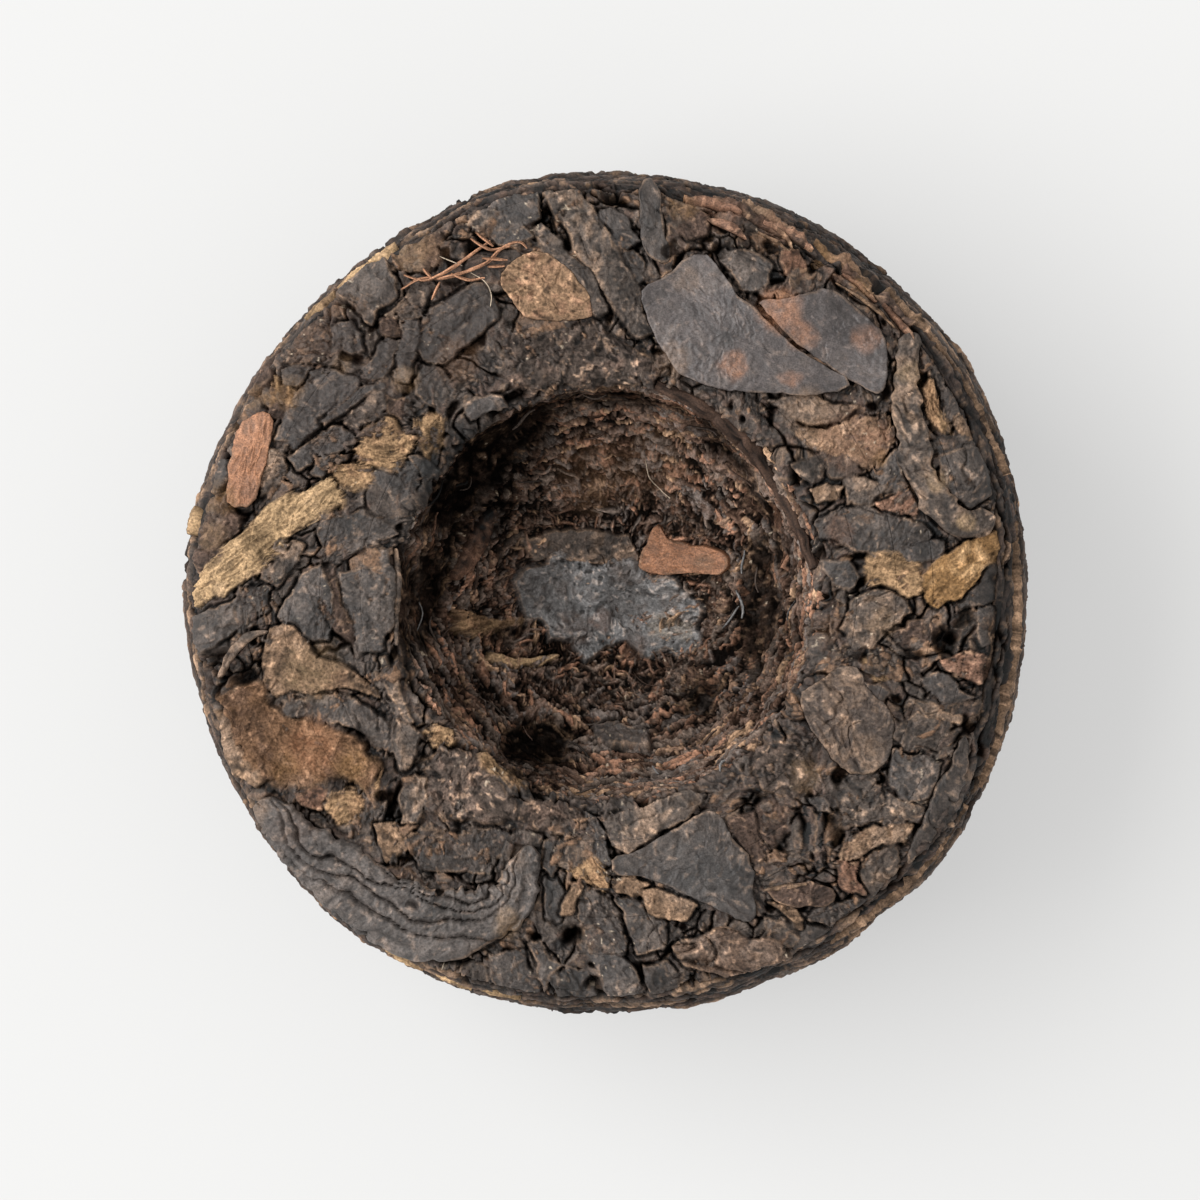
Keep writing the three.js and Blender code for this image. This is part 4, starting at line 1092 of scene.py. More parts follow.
def ring_faces(first, second, count):
    """Triangles between two rings of points, given by the number of their first point."""
    here = np.arange(count)
    following = (here + 1) % count
    return np.concatenate([
        np.stack([first + here, second + here, second + following], -1),
        np.stack([first + here, second + following, first + following], -1),
    ])


def fan_faces(centre, first, count):
    """Triangles from a centre point to a ring."""
    here = np.arange(count)
    return np.stack([np.full(count, centre), first + here, first + (here + 1) % count], -1)


class Spots:
    """Spots on a surface, in mm, whose first coordinate may repeat after a length."""

    def __init__(self, x, y, around=None):
        self.x, self.y, self.around = x, y, around

    def noise(self, size, seed, stretch=1.0):
        """Noise of about this size in mm, drawn out along the first coordinate."""
        wide = size * stretch
        if self.around is None:
            return noise(self.x / wide, self.y / size, seed)
        count = max(1, round(self.around / wide))
        return noise(self.x * count / self.around, self.y / size, seed, count)

    def patches(self, seed, size, low, high, stretch=1.0):
        """Ragged patches of about this size, which open where the noise rises from low to high."""
        return smoothstep(self.noise(size, seed, stretch), low, high)

    def shaken(self, sizes, seed, tear=TEAR):
        """The spots moved about, so that what is drawn on them comes out ragged. Near spots move together."""
        shift_x = sum(tear * size * self.noise(size, seed + k) for k, size in enumerate(sizes))
        shift_y = sum(tear * size * self.noise(size, seed + 50 + k) for k, size in enumerate(sizes))
        return Spots(self.x + shift_x, self.y + shift_y, self.around)

    def turned(self, angle):
        """The same spots with turned axes."""
        cos, sin = math.cos(angle), math.sin(angle)
        return Spots(self.x * cos + self.y * sin, self.y * cos - self.x * sin)

    def fine_lines(self, size, seed, width, stretch=1.0):
        """Thin winding lines, 1 on a line and 0 away from it."""
        return 1 - smoothstep(np.abs(self.noise(size, seed, stretch)), LINE_CORE * width, width)


class Look(NamedTuple):
    """How a surface looks at each spot: its relief in mm, its linear colour and its gloss from 0 to 1."""

    rise: np.ndarray
    tint: np.ndarray
    gloss: np.ndarray


def summed(shares, *parts):
    """The parts added up by these shares."""
    return sum(share * part for share, part in zip(shares, parts))


def mixed(tint, other, share):
    """Colours that turn into another one by these shares."""
    return tint + (np.asarray(other) - tint) * share[..., None]


def along_ramp(ramp, place, colours):
    """Colours along a ramp that names them, for places from -0.5 at its start to 0.5 at its end."""
    stops = np.array([getattr(colours, name)[:] for name in ramp])
    marks = np.clip(0.5 + place, 0, 1) * (len(ramp) - 1)
    return np.stack([np.interp(marks, np.arange(len(ramp)), stops[:, k]) for k in range(3)], -1)


class Chips(NamedTuple):
    """For each spot: how far its chip's edge is in mm, the chip's tone and lift, and its place on it."""

    edge: np.ndarray
    tone: np.ndarray
    lift: np.ndarray
    along: np.ndarray
    across: np.ndarray


def cracked(spots, size, seed, stretch=1.0):
    """Splits a surface into uneven chips of about this size in mm, each turned its own way."""
    wide = size * stretch
    count = max(1, round(spots.around / wide)) if spots.around else None
    u = spots.x * count / spots.around if count else spots.x / wide
    v = spots.y / size
    column, row = np.floor(u).astype(np.int64), np.floor(v).astype(np.int64)
    nearest, second = np.full(u.shape, np.inf), np.full(u.shape, np.inf)
    found = [np.zeros(u.shape) for _ in range(4)]
    for step in range(25):
        i, j = column + step % 5 - 2, row + step // 5 - 2
        key = i % count if count else i
        aside, above, turned, weight, tone = (corner_value(key, j, seed + draw) for draw in range(5))
        run, climb = u - i - 0.5 - CHIP_STRAY * aside, v - j - 0.5 - CHIP_STRAY * above
        cos, sin = np.cos(CHIP_TURN * turned), np.sin(CHIP_TURN * turned)
        along, across = run * cos + climb * sin, climb * cos - run * sin
        away = np.hypot(along / CHIP_LONG, across * CHIP_NARROW) * (1 + CHIP_UNEVEN * weight)
        closer = away < nearest
        second = np.where(closer, nearest, np.minimum(second, away))
        nearest = np.where(closer, away, nearest)
        lift = weight * along + turned * across
        place = (run * wide * cos + climb * size * sin, climb * size * cos - run * wide * sin)
        for k, value in enumerate((tone, lift, *place)):
            found[k] = np.where(closer, value, found[k])
    tone, lift, along, across = found
    edge = (second - nearest) * size / 2
    return Chips(edge, tone, lift, along + CHIP_APART[0] * tone, across + CHIP_APART[1] * tone)


def pressed(spots, ramp, seed, colours, scale=1.0, stretch=1.0):
    """Chips of torn leaf pressed against each other, with cracks, pits, split flakes, wisps and grit. The
    cracks, pits and splits are painted dark as shade.

    Ramp names their colours.
    """
    torn = spots.shaken([scale * size for size in FILL_TEARS], seed)
    big = cracked(torn, BIG_CHIP * scale, seed + 10, stretch)
    small = cracked(torn, SMALL_CHIP * scale, seed + 20, stretch)
    flakes = cracked(torn, FLAKE, seed + 50, math.sqrt(stretch))
    is_small = torn.noise(SMALL_CHIP_AREA * scale, seed + 30, stretch) > 0
    chips = Chips(*(np.where(is_small, one, other) for one, other in zip(small, big)))
    is_open = torn.patches(seed + 31, CRACK_PATCH[0] * scale, *CRACK_PATCH[1:], stretch)
    crack = is_open * (1 - smoothstep(chips.edge, LINE_CORE * CRACK_WIDTH, CRACK_WIDTH))
    is_split = torn.patches(seed + 33, *SPLIT_PATCH)
    split = is_split * (1 - smoothstep(flakes.edge, *SPLIT_EDGE))
    pit = torn.patches(seed + 32, PIT_PATCH[0] * scale, *PIT_PATCH[1:], stretch)
    grits = [torn.noise(size, seed + 34 + k) for k, size in enumerate(GRIT_SIZES)]
    rise = (
        CHIP_LIFT * scale * (chips.tone + chips.lift) + FLAKE_LIFT * (flakes.tone + flakes.lift)
        - CRACK_DEPTH * crack - PIT_DEPTH * pit - SPLIT_DEPTH * split
        + summed(GRIT_HEIGHTS, *grits)
    )
    tint = along_ramp(ramp, summed(PACKED_TONES, chips.tone, flakes.tone, grits[0]), colours)
    on_chip = Spots(chips.along, chips.across)
    ragged = WISP_GRIT * grits[-1]
    size, width, longer = PALE_FIBRE
    shows = torn.patches(seed + 41, *PALE_FIBRE_PATCH)
    pale_wisp = np.maximum(
        smoothstep(on_chip.noise(PALE_WISP, seed + 37, WISP_LENGTH) + ragged, *PALE_WISP_SHOWS),
        WISP_SHARE * torn.fine_lines(size, seed + 39, width, longer) * shows,
    )
    dark_wisp = smoothstep(on_chip.noise(DARK_WISP, seed + 38, WISP_LENGTH) + ragged, *DARK_WISP_SHOWS)
    tint = mixed(tint, colours.tan, WISP_SHARE * pale_wisp)
    # Cracks, pits and splits darken the leaf as painted shade
    shade = (
        (1 - CRACK_SHADE * crack) * (1 - PIT_SHADE * pit) * (1 - SPLIT_SHADE * split)
        * (1 - WISP_SHARE * dark_wisp) * (1 + FLAKE_SHADE * flakes.tone) * (1 + summed(GRIT_SHADES, *grits))
    )
    gloss = PACKED_GLOSS * (1 - crack) * (1 - pit)
    return Look(rise, tint * np.maximum(shade, DARKEST_PACKED)[..., None], gloss)


def tangled(layers, ramp, seed, colours):
    """Strands of torn leaf that lie over each other, with gaps under them that are painted black as shade.

    Each layer holds its spots and the width and length of its strands. Ramp names their colours.
    """
    shape = layers[0][0].x.shape
    # The gaps start out painted nearly black, as shade
    rise, tint = np.full(shape, -TANGLE_DEPTH), np.broadcast_to(colours.soot, (*shape, 3))
    for number, (spots, width, reach) in enumerate(layers):
        start = seed + 100 * number
        torn = spots.shaken(TANGLE_TEARS, start, TANGLE_TEAR)
        strands = cracked(torn, width, start + 10, reach / width)
        streak_size, longer = TANGLE_STREAK
        streak = Spots(strands.along, strands.across).noise(streak_size, start + 20, longer)
        grit = torn.noise(TANGLE_GRIT, start + 21)
        spot = torn.noise(TANGLE_SPOT, start + 22) + TANGLE_SPOT_GRIT * grit
        patch = 2 * smoothstep(spot, *TANGLE_SPOT_EDGE) - 1
        chance = TANGLE_CHANCE * (strands.tone + 1) % 1
        edge = smoothstep(strands.edge + TANGLE_FRAY * grit, 0.0, TANGLE_EDGE)
        height = (
            TANGLE_DEPTH * (edge - 1) + TANGLE_SPREAD * (chance - 0.5) + TANGLE_LIFT * strands.lift
            + TANGLE_GRAIN * (streak + patch)
        )
        own = along_ramp(ramp, summed(TANGLE_TONES, strands.tone, grit), colours)
        # Each strand darkens towards its edges, as painted shade where it drops into the gaps
        shade = (DARKEST + (1 - DARKEST) * edge) * summed(TANGLE_SHADES, 1, streak, patch, grit)
        over = (chance < TANGLE_SHARE) & (height > rise)
        rise = np.where(over, height, rise)
        tint = np.where(over[..., None], own * np.maximum(shade, DARKEST)[..., None], tint)
    return Look(rise, tint, np.zeros(shape))


class Leaf(NamedTuple):
    """One leaf: its kind, seed, main direction and colour, and those of its flecks and its painted
    highlights.
    """

    kind: str
    seed: int
    turn: float
    own: np.ndarray
    fleck: np.ndarray
    pale: np.ndarray

    def top(self, along, across, inset):
        """How its top looks at spots along and across it that lie this far in from its outline."""
        style, seed = STYLES[self.kind], self.seed
        swayed = Spots(along, across).shaken(LEAF_SWAY, seed)
        bend = swayed.noise(FOLD_BEND * style.wrinkle_size, seed + 12, stretch=3)
        fold = np.abs(np.sin(math.pi * (0.5 * swayed.y / style.wrinkle_size + FOLD_STRAY * bend)))
        folded = swayed.patches(seed + 26, *FOLD_PATCH) * min(1.0, style.wrinkle / FULL_WRINKLE) ** 2
        # Fold valleys are painted dark as shade
        valley = folded * (1 - smoothstep(fold, 0.0, VALLEY_WIDTH))
        broad, patch, small_patch = (swayed.noise(size, seed + 18, stretch=1.3) for size in LEAF_SPOTS)
        lobe = np.abs(swayed.noise(CREASE_SIZE, seed + 13, stretch=1.5))
        # Creases are painted dark as shade
        crease = np.minimum(style.crease * (1 - smoothstep(lobe, *CREASE_EDGE)), 1)
        crease = crease * smoothstep(patch, *CREASE_SHOWS)
        crinkle = style.crease * swayed.noise(CRINKLE_SIZE, seed + 14, stretch=2)
        streaks = style.fibre * self.streaks(along, across)
        grit, fine_grit = swayed.noise(LEAF_GRIT[0], seed + 17), swayed.noise(LEAF_GRIT[1], seed + 24)
        crumple = cracked(swayed, CRUMPLE, seed + 40)
        rise = (
            style.stand + CRUMPLE_LIFT * style.speck * (crumple.tone + 2 * crumple.lift)
            + WAVE_HEIGHT * swayed.noise(WAVE_SIZE, seed + 19)
            + style.wrinkle * (smoothstep(fold, 0.0, FOLD_TOP) - valley)
            + CRINKLE_HEIGHT * crinkle - CREASE_DEPTH * crease + FIBRE_HEIGHT * streaks
            + (LEAF_GRIT_HEIGHT + CREASED_GRIT_HEIGHT * style.crease) * (grit + fine_grit)
        )
        flecks = smoothstep(summed(FLECK_PARTS, broad, patch, small_patch, grit), *FLECK_SHOWS)
        # Pale specks, partly flecks and partly painted highlights; pits, dark spots painted as the shade of
        # fine relief
        speck = swayed.noise(SPECK, seed + 21) + SPECK_GRIT * fine_grit
        specks_and_highlights = style.speck * smoothstep(speck, *SPECK_SHOWS)
        shade_pits = style.speck * smoothstep(swayed.noise(LEAF_PIT, seed + 27) + SPECK_GRIT * grit, *SPECK_SHOWS)
        # A pale edge, painted as a highlight
        lit_edge = 1 - smoothstep(np.abs(inset - LIT_INSET), *LIT_EDGE)
        lit_edge = lit_edge * swayed.patches(seed + 22, *LIT_PATCH)
        tint = mixed(self.own, self.fleck, style.fleck_share * flecks)
        tint = mixed(tint, self.pale, np.clip(summed(PALE_PARTS, specks_and_highlights, lit_edge), 0, 1))
        fine = summed(FINE_PARTS, grit, fine_grit, small_patch)
        # Creases, valleys and pits darken it as painted shade, specks lighten it partly as painted highlights
        shade = (
            (1 - CREASE_SHADE * crease) * (1 - VALLEY_SHADE * valley)
            * (1 + CRINKLE_SHADE * crinkle) * (1 + FIBRE_SHADE * streaks)
            * (1 + CRUMPLE_SHADE * style.speck * crumple.tone)
            * (1 + specks_and_highlights) * np.maximum(1 - LEAF_PIT_SHADE * shade_pits, DARKEST_LEAF_PIT)
            * (1 + style.speck * fine + PATCH_SHADE * patch + BROAD_SHADE * broad)
        )
        gloss = style.gloss * (1 - crease) * (1 - valley)
        return Look(rise, tint * np.maximum(shade, DARKEST)[..., None], gloss)

    def streaks(self, along, across):
        """Fine wavy fibres along the leaf that cross at a slight angle, from about -1 to 1."""
        found = 0.0
        for number, slant in enumerate(FIBRE_SLANTS):
            waves = Spots(along, across + slant * along).shaken(FIBRE_SWAY, self.seed + 60 + number)
            fibre = np.abs(waves.noise(FIBRE_SIZE, self.seed + 70 + number, FIBRE_LENGTH))
            found = np.maximum(found, 0.9 - 2.8 * fibre)
        return 1.6 * found - 0.7


class Leaves:
    """Draws leaves one after the other, each with looks of its own."""

    def __init__(self, colours, seed):
        self.colours = colours
        self.random = np.random.default_rng(seed)

    def next(self, kind, outline):
        """A leaf of this kind, which lies along its outline."""
        style = STYLES[kind]
        own, fleck, pale = (np.array(getattr(self.colours, name)) for name in (kind, style.fleck, "tan"))
        own = own * self.random.uniform(*LEAF_TONES)
        x, y = (outline - outline.mean(0)).T
        turn = 0.5 * math.atan2(2 * np.mean(x * y), np.mean(x * x) - np.mean(y * y))
        return Leaf(kind, int(self.random.integers(1, 10**6)), turn, own, fleck, pale)


def depth_in(outline, x, y):
    """How far inside the outline each spot lies, in mm: less than 0 outside it."""
    away = np.full(x.shape, np.inf)
    found = np.zeros(x.shape, bool)
    for (x1, y1), (x2, y2) in zip(outline, np.roll(outline, -1, axis=0)):
        run, climb = x2 - x1, y2 - y1
        share = np.clip(((x - x1) * run + (y - y1) * climb) / max(run**2 + climb**2, 1e-12), 0, 1)
        away = np.minimum(away, (x - x1 - share * run) ** 2 + (y - y1 - share * climb) ** 2)
        crosses = (y1 > y) != (y2 > y)
        found ^= crosses & (x < x1 + (y - y1) * run / (climb if climb else 1e-12))
    return np.where(found, 1, -1) * np.sqrt(away)


def close_to(outline, x, y, margin=0.0):
    """Which spots lie in the box round an outline, with this margin in mm."""
    low, high = outline.min(0) - margin, outline.max(0) + margin
    return (x > low[0]) & (x < high[0]) & (y > low[1]) & (y < high[1])


def press_in(look, x, y, leaf, outline, stand):
    """Presses a leaf flush into a surface, seen from above. Part of its edge leaves a gap, painted dark as
    shade.
    """
    near = close_to(outline, x, y, LEAF_MARGIN)
    here = Spots(x[near], y[near])
    torn = here.shaken(LEAF_TEARS, TEAR_SEED)
    style = STYLES[leaf.kind]
    centre = outline.mean(0)
    own = Spots(here.x - centre[0], here.y - centre[1]).turned(leaf.turn)
    inset = depth_in(outline, torn.x, torn.y) + CLOSE_UP + FRAY * style.fibre * leaf.streaks(own.x, own.y)
    top = leaf.top(own.x, own.y, inset)
    half = max(np.abs(outline - centre).max(), 0.1)
    slope = np.clip(own.turned(leaf.seed % 7).x / half, -1, 1)
    height = stand + top.rise + BULGE * smoothstep(inset, 0, BULGE_WIDTH) + LEAN * slope
    # A sunk leaf, which is painted shade, covers a fixed share
    over = smoothstep(height - look.rise[near], -OVERLAP, OVERLAP) if style.stand >= 0 else SHADE_COVER
    cover = over * smoothstep(inset, -style.blend, style.blend)
    # The gap round part of the edge is painted dark, as shade
    gap = here.patches(GAP_SEED, *GAP_PATCH) * over * (1 - smoothstep(-inset, *GAP_EDGE)) * (1 - cover)
    look.rise[near] += (height - look.rise[near]) * cover - GAP_DEPTH * gap
    look.tint[near] = mixed(look.tint[near], top.tint, cover) * (1 - GAP_SHADE * gap)[..., None]
    look.gloss[near] += (top.gloss - look.gloss[near]) * cover


def glinting(tint, x, y, colours):
    """Colours with painted glints: tiny pale specks in a few clusters."""
    spots = Spots(x, y)
    glint = spots.patches(GLINT_SEED, *GLINT_CLUSTER) * spots.patches(GLINT_SEED + 1, *GLINT)
    return mixed(tint, colours.lint, GLINT_SHARE * glint * smoothstep(tint.mean(-1), *GLINT_DARK))


def stained_and_painted_light(tint, x, y, colours):
    """Colours with the stains that show on the leaves, and painted shade and highlight, in soft ragged
    patches.
    """
    torn = Spots(x, y).shaken(LEAF_TEARS, STAIN_AND_LIGHT_SEED)
    speckle = Spots(x, y).noise(STAIN_AND_LIGHT_SPECKLE, STAIN_AND_LIGHT_SEED + 9)
    # Besides stains, these patches paint shade in the hollow and a highlight on its grey leaf
    for centre_x, centre_y, radius, kind, strength in STAINS_AND_PAINTED_LIGHT:
        away = np.hypot(torn.x - centre_x, torn.y - centre_y) / radius
        share = strength * (1 - smoothstep(away, *STAIN_AND_LIGHT_EDGE)) * summed(STAIN_AND_LIGHT_SHARES, 1, speckle)
        tint = mixed(tint, getattr(colours, kind), np.clip(share, 0, 1))
    return tint


class Shells:
    """Lays leaves that stand up on the form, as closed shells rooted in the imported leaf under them."""

    def __init__(self, form, colours):
        self.form, self.colours = form, colours

    def leaf(self, batch, leaf, outline, stand):
        """One leaf with this outline."""
        centre, area = middle(outline)
        if area < 0:
            outline = outline[::-1]
        outline = spaced(outline, True, LEAF_STEP, least=20)
        torn = Spots(*outline.T).shaken(CRISP_TEARS, TEAR_SEED, CRISP_TEAR)
        spokes = 2 * outline - np.stack([torn.x, torn.y], -1) - centre
        reach, count = np.hypot(*spokes.T), len(outline)
        rings = max(2, int(math.ceil(reach.mean() / LEAF_STEP)))
        flat_share = np.maximum(1 - EDGE[0][0] / reach, LEAST_FLAT)
        shares = [flat_share * k / rings for k in range(1, rings)]
        drops = [0.0] * len(shares)
        for inset, drop in EDGE:
            shares.append(np.maximum(1 - inset / reach, LEAST_EDGE))
            drops.append(drop)
        shares = np.array(shares)
        tops = (centre + shares[..., None] * spokes).reshape(-1, 2)
        roots = centre + np.maximum(1 - ROOT_INSET / reach, LEAST_FLAT)[:, None] * spokes
        spots = np.concatenate([[centre], tops, roots, [centre]])
        inset = np.concatenate([[reach.mean()], ((1 - shares) * reach).ravel(), np.zeros(count + 1)])
        own = Spots(*(spots - centre).T).turned(leaf.turn)
        top = leaf.top(own.x, own.y, inset)
        top = top._replace(tint=stained_and_painted_light(top.tint, *spots.T, self.colours))
        rise = stand + top.rise - np.concatenate([[0], np.repeat(drops, count), np.zeros(count + 1)])
        rise[-count - 1:] = -ROOT_DEPTH
        loops = len(shares) + 1
        faces = [fan_faces(0, 1, count)]
        faces += [ring_faces(1 + k * count, 1 + (k + 1) * count, count) for k in range(loops - 1)]
        faces.append(fan_faces(1 + loops * count, 1 + (loops - 1) * count, count)[:, ::-1])
        batch.add(self.form.from_above(spots, rise), np.concatenate(faces), top)

    def strip(self, batch, leaf, width, tapers, spine, stand):
        """One stalk, folded strip or leaf edge along this middle line."""
        line = spaced(smooth_line(spine, False), False, LEAF_STEP, least=8)
        side, reach = beside(line), reach_along(line)
        to_end = np.minimum(reach, reach[-1] - reach)
        blunt = np.minimum(1, np.sqrt(to_end / (STRIP_BLUNT * width) + STRIP_TIP))
        columns = max(5, int(math.ceil(width / LEAF_STEP)) | 1)
        v = np.linspace(-1, 1, columns)
        frays = np.stack([
            sum(share * noise(reach / size, row, leaf.seed) for size, share in STRIP_WAVES)
            for row in (0.5, 9.5)
        ], -1)
        stray = min(STRIP_STRAY, STRIP_STRAY_SHARE * width)
        half = width / 2 * tapered(reach / reach[-1], tapers)[:, None] + stray * frays
        half = half * blunt[:, None]
        across = np.where(v < 0, half[:, :1] * v, half[:, 1:] * v)
        spots = line[:, None] + across[..., None] * side[:, None]
        along = np.broadcast_to(reach[:, None], across.shape)
        inset = np.where(v < 0, half[:, :1], half[:, 1:]) * (1 - np.abs(v))
        rows = len(line)
        rounded = np.tile(1 - v**STRIP_ROUND, rows)
        root_across = STRIP_ROOT_SHARE * across[:, [0, -1]]
        low = (line[:, None] + root_across[..., None] * side[:, None]).reshape(-1, 2)
        top = leaf.top(
            np.append(along.ravel(), np.repeat(reach, 2)), np.append(across.ravel(), root_across.ravel()),
            np.append(inset.ravel(), np.zeros(2 * rows)),
        )
        body = min(STRIP_BODY_SHARE * width, STRIP_BODY)
        rise = stand + body * (rounded - 1) + top.rise[:rows * columns] * rounded
        spots = np.concatenate([spots.reshape(-1, 2), low])
        top = top._replace(tint=stained_and_painted_light(top.tint, *spots.T, self.colours))
        points = self.form.from_above(spots, np.concatenate([rise, np.full(2 * rows, -ROOT_DEPTH)]))
        grid = np.arange(rows * columns).reshape(rows, columns)
        left = rows * columns + 2 * np.arange(rows)
        right = left + 1
        sheet = np.concatenate([left[:, None], grid, right[:, None]], axis=1)
        a, b = sheet[:-1, :-1].ravel(), sheet[1:, :-1].ravel()
        c, d = sheet[1:, 1:].ravel(), sheet[:-1, 1:].ravel()
        faces = [np.stack(corners, -1) for corners in (
            (a, c, b), (a, d, c), (left[:-1], left[1:], right[1:]), (left[:-1], right[1:], right[:-1]),
        )]
        first, last = sheet[0], sheet[-1]
        faces.append(np.stack([np.full(columns, first[0]), first[2:], first[1:-1]], -1))
        faces.append(np.stack([np.full(columns, last[0]), last[1:-1], last[2:]], -1))
        batch.add(points, np.concatenate(faces), top)


def rows_of(table, are_shells):
    """The rows of a table, with their kind, that stand up as shells or that are pressed flush."""
    return [(kind, row) for kind in table for row in table[kind] if (row[0] >= SHELL_STAND) == are_shells]


def tapered(share, tapers):
    """Width of a strip along it, as a share of its full width."""
    start, end = 1 - smoothstep(share, 0, TAPER_REACH), smoothstep(share, 1 - TAPER_REACH, 1)
    return (1 - tapers[0] * start) * (1 - tapers[1] * end)


def band(width, tapers, spine):
    """Outline of a strip of this width along a line."""
    line = spaced(smooth_line(spine, False), False, BAND_STEP, least=5)
    half = width / 2 * tapered(np.linspace(0, 1, len(line)), tapers)
    side = beside(line) * half[:, None]
    return np.concatenate([line + side, (line - side)[::-1]])


def add_node(tree, kind, inputs=(), **settings):
    """Adds a node, sets its settings and sets or links its inputs."""
    node = tree.nodes.new(kind)
    for name, value in settings.items():
        setattr(node, name, value)
    for name, value in dict(inputs).items():
        if isinstance(value, bpy.types.NodeSocket):
            tree.links.new(value, node.inputs[name])
        else:
            node.inputs[name].default_value = value
    return node


def leaf_material(name, grain, bump):
    """Pressed leaf: each spot has a colour and sheen of its own, and fine grain breaks both up.

    Grain is a width in mm, bump is a height in mm.
    """
    material = bpy.data.materials.new(name)
    material.use_nodes = True
    tree = material.node_tree
    shader = tree.nodes["Principled BSDF"]
    tint = add_node(tree, "ShaderNodeAttribute", attribute_name="leaf_tint")
    gloss = add_node(tree, "ShaderNodeAttribute", attribute_name="leaf_gloss").outputs["Fac"]
    place = add_node(tree, "ShaderNodeTexCoord").outputs["Object"]
    grains = add_node(tree, "ShaderNodeTexNoise", {
        "Vector": place, "Scale": 1 / (grain * MM), "Detail": 3, "Roughness": 0.7})
    shade = add_node(tree, "ShaderNodeMapRange", {
        "Value": grains.outputs["Fac"], "From Min": 0.3, "From Max": 0.7, "To Min": 0.4, "To Max": 1.6})
    toned = add_node(tree, "ShaderNodeVectorMath", {
        0: tint.outputs["Color"], "Scale": shade.outputs[0]}, operation="SCALE")
    sheen = add_node(tree, "ShaderNodeMath", {0: gloss, 1: 0.9}, operation="MULTIPLY")
    rough = add_node(tree, "ShaderNodeMapRange", {"Value": gloss, "To Min": 0.85, "To Max": 0.35})
    bumped = add_node(tree, "ShaderNodeBump", {
        "Height": grains.outputs["Fac"], "Distance": bump * MM, "Strength": 1.0})
    for name, node in {
        "Base Color": toned, "Specular IOR Level": sheen, "Roughness": rough, "Normal": bumped,
    }.items():
        tree.links.new(node.outputs[0], shader.inputs[name])
    return material


def material_for(kind):
    """The material of one kind of leaf, made once."""
    name = f"{kind}_leaf"
    return bpy.data.materials.get(name) or leaf_material(name, *GRAINS.get(kind, PLAIN_GRAIN))


class Grid:
    """Spots on the form, in rows along its section from start to end and columns round it, in mm."""

    def __init__(self, form, start, end, around, step_along, step_around):
        self.form = form
        self.rows = np.linspace(start, end, round((end - start) / step_along))
        self.columns = np.linspace(0, 2 * math.pi, round(around / step_around), endpoint=False)
        self.along, self.azimuth = np.meshgrid(self.rows, self.columns, indexing="ij")
        self.radius = np.interp(self.along, form.along, form.across)
        self.x, self.y = self.radius * np.cos(self.azimuth), self.radius * np.sin(self.azimuth)


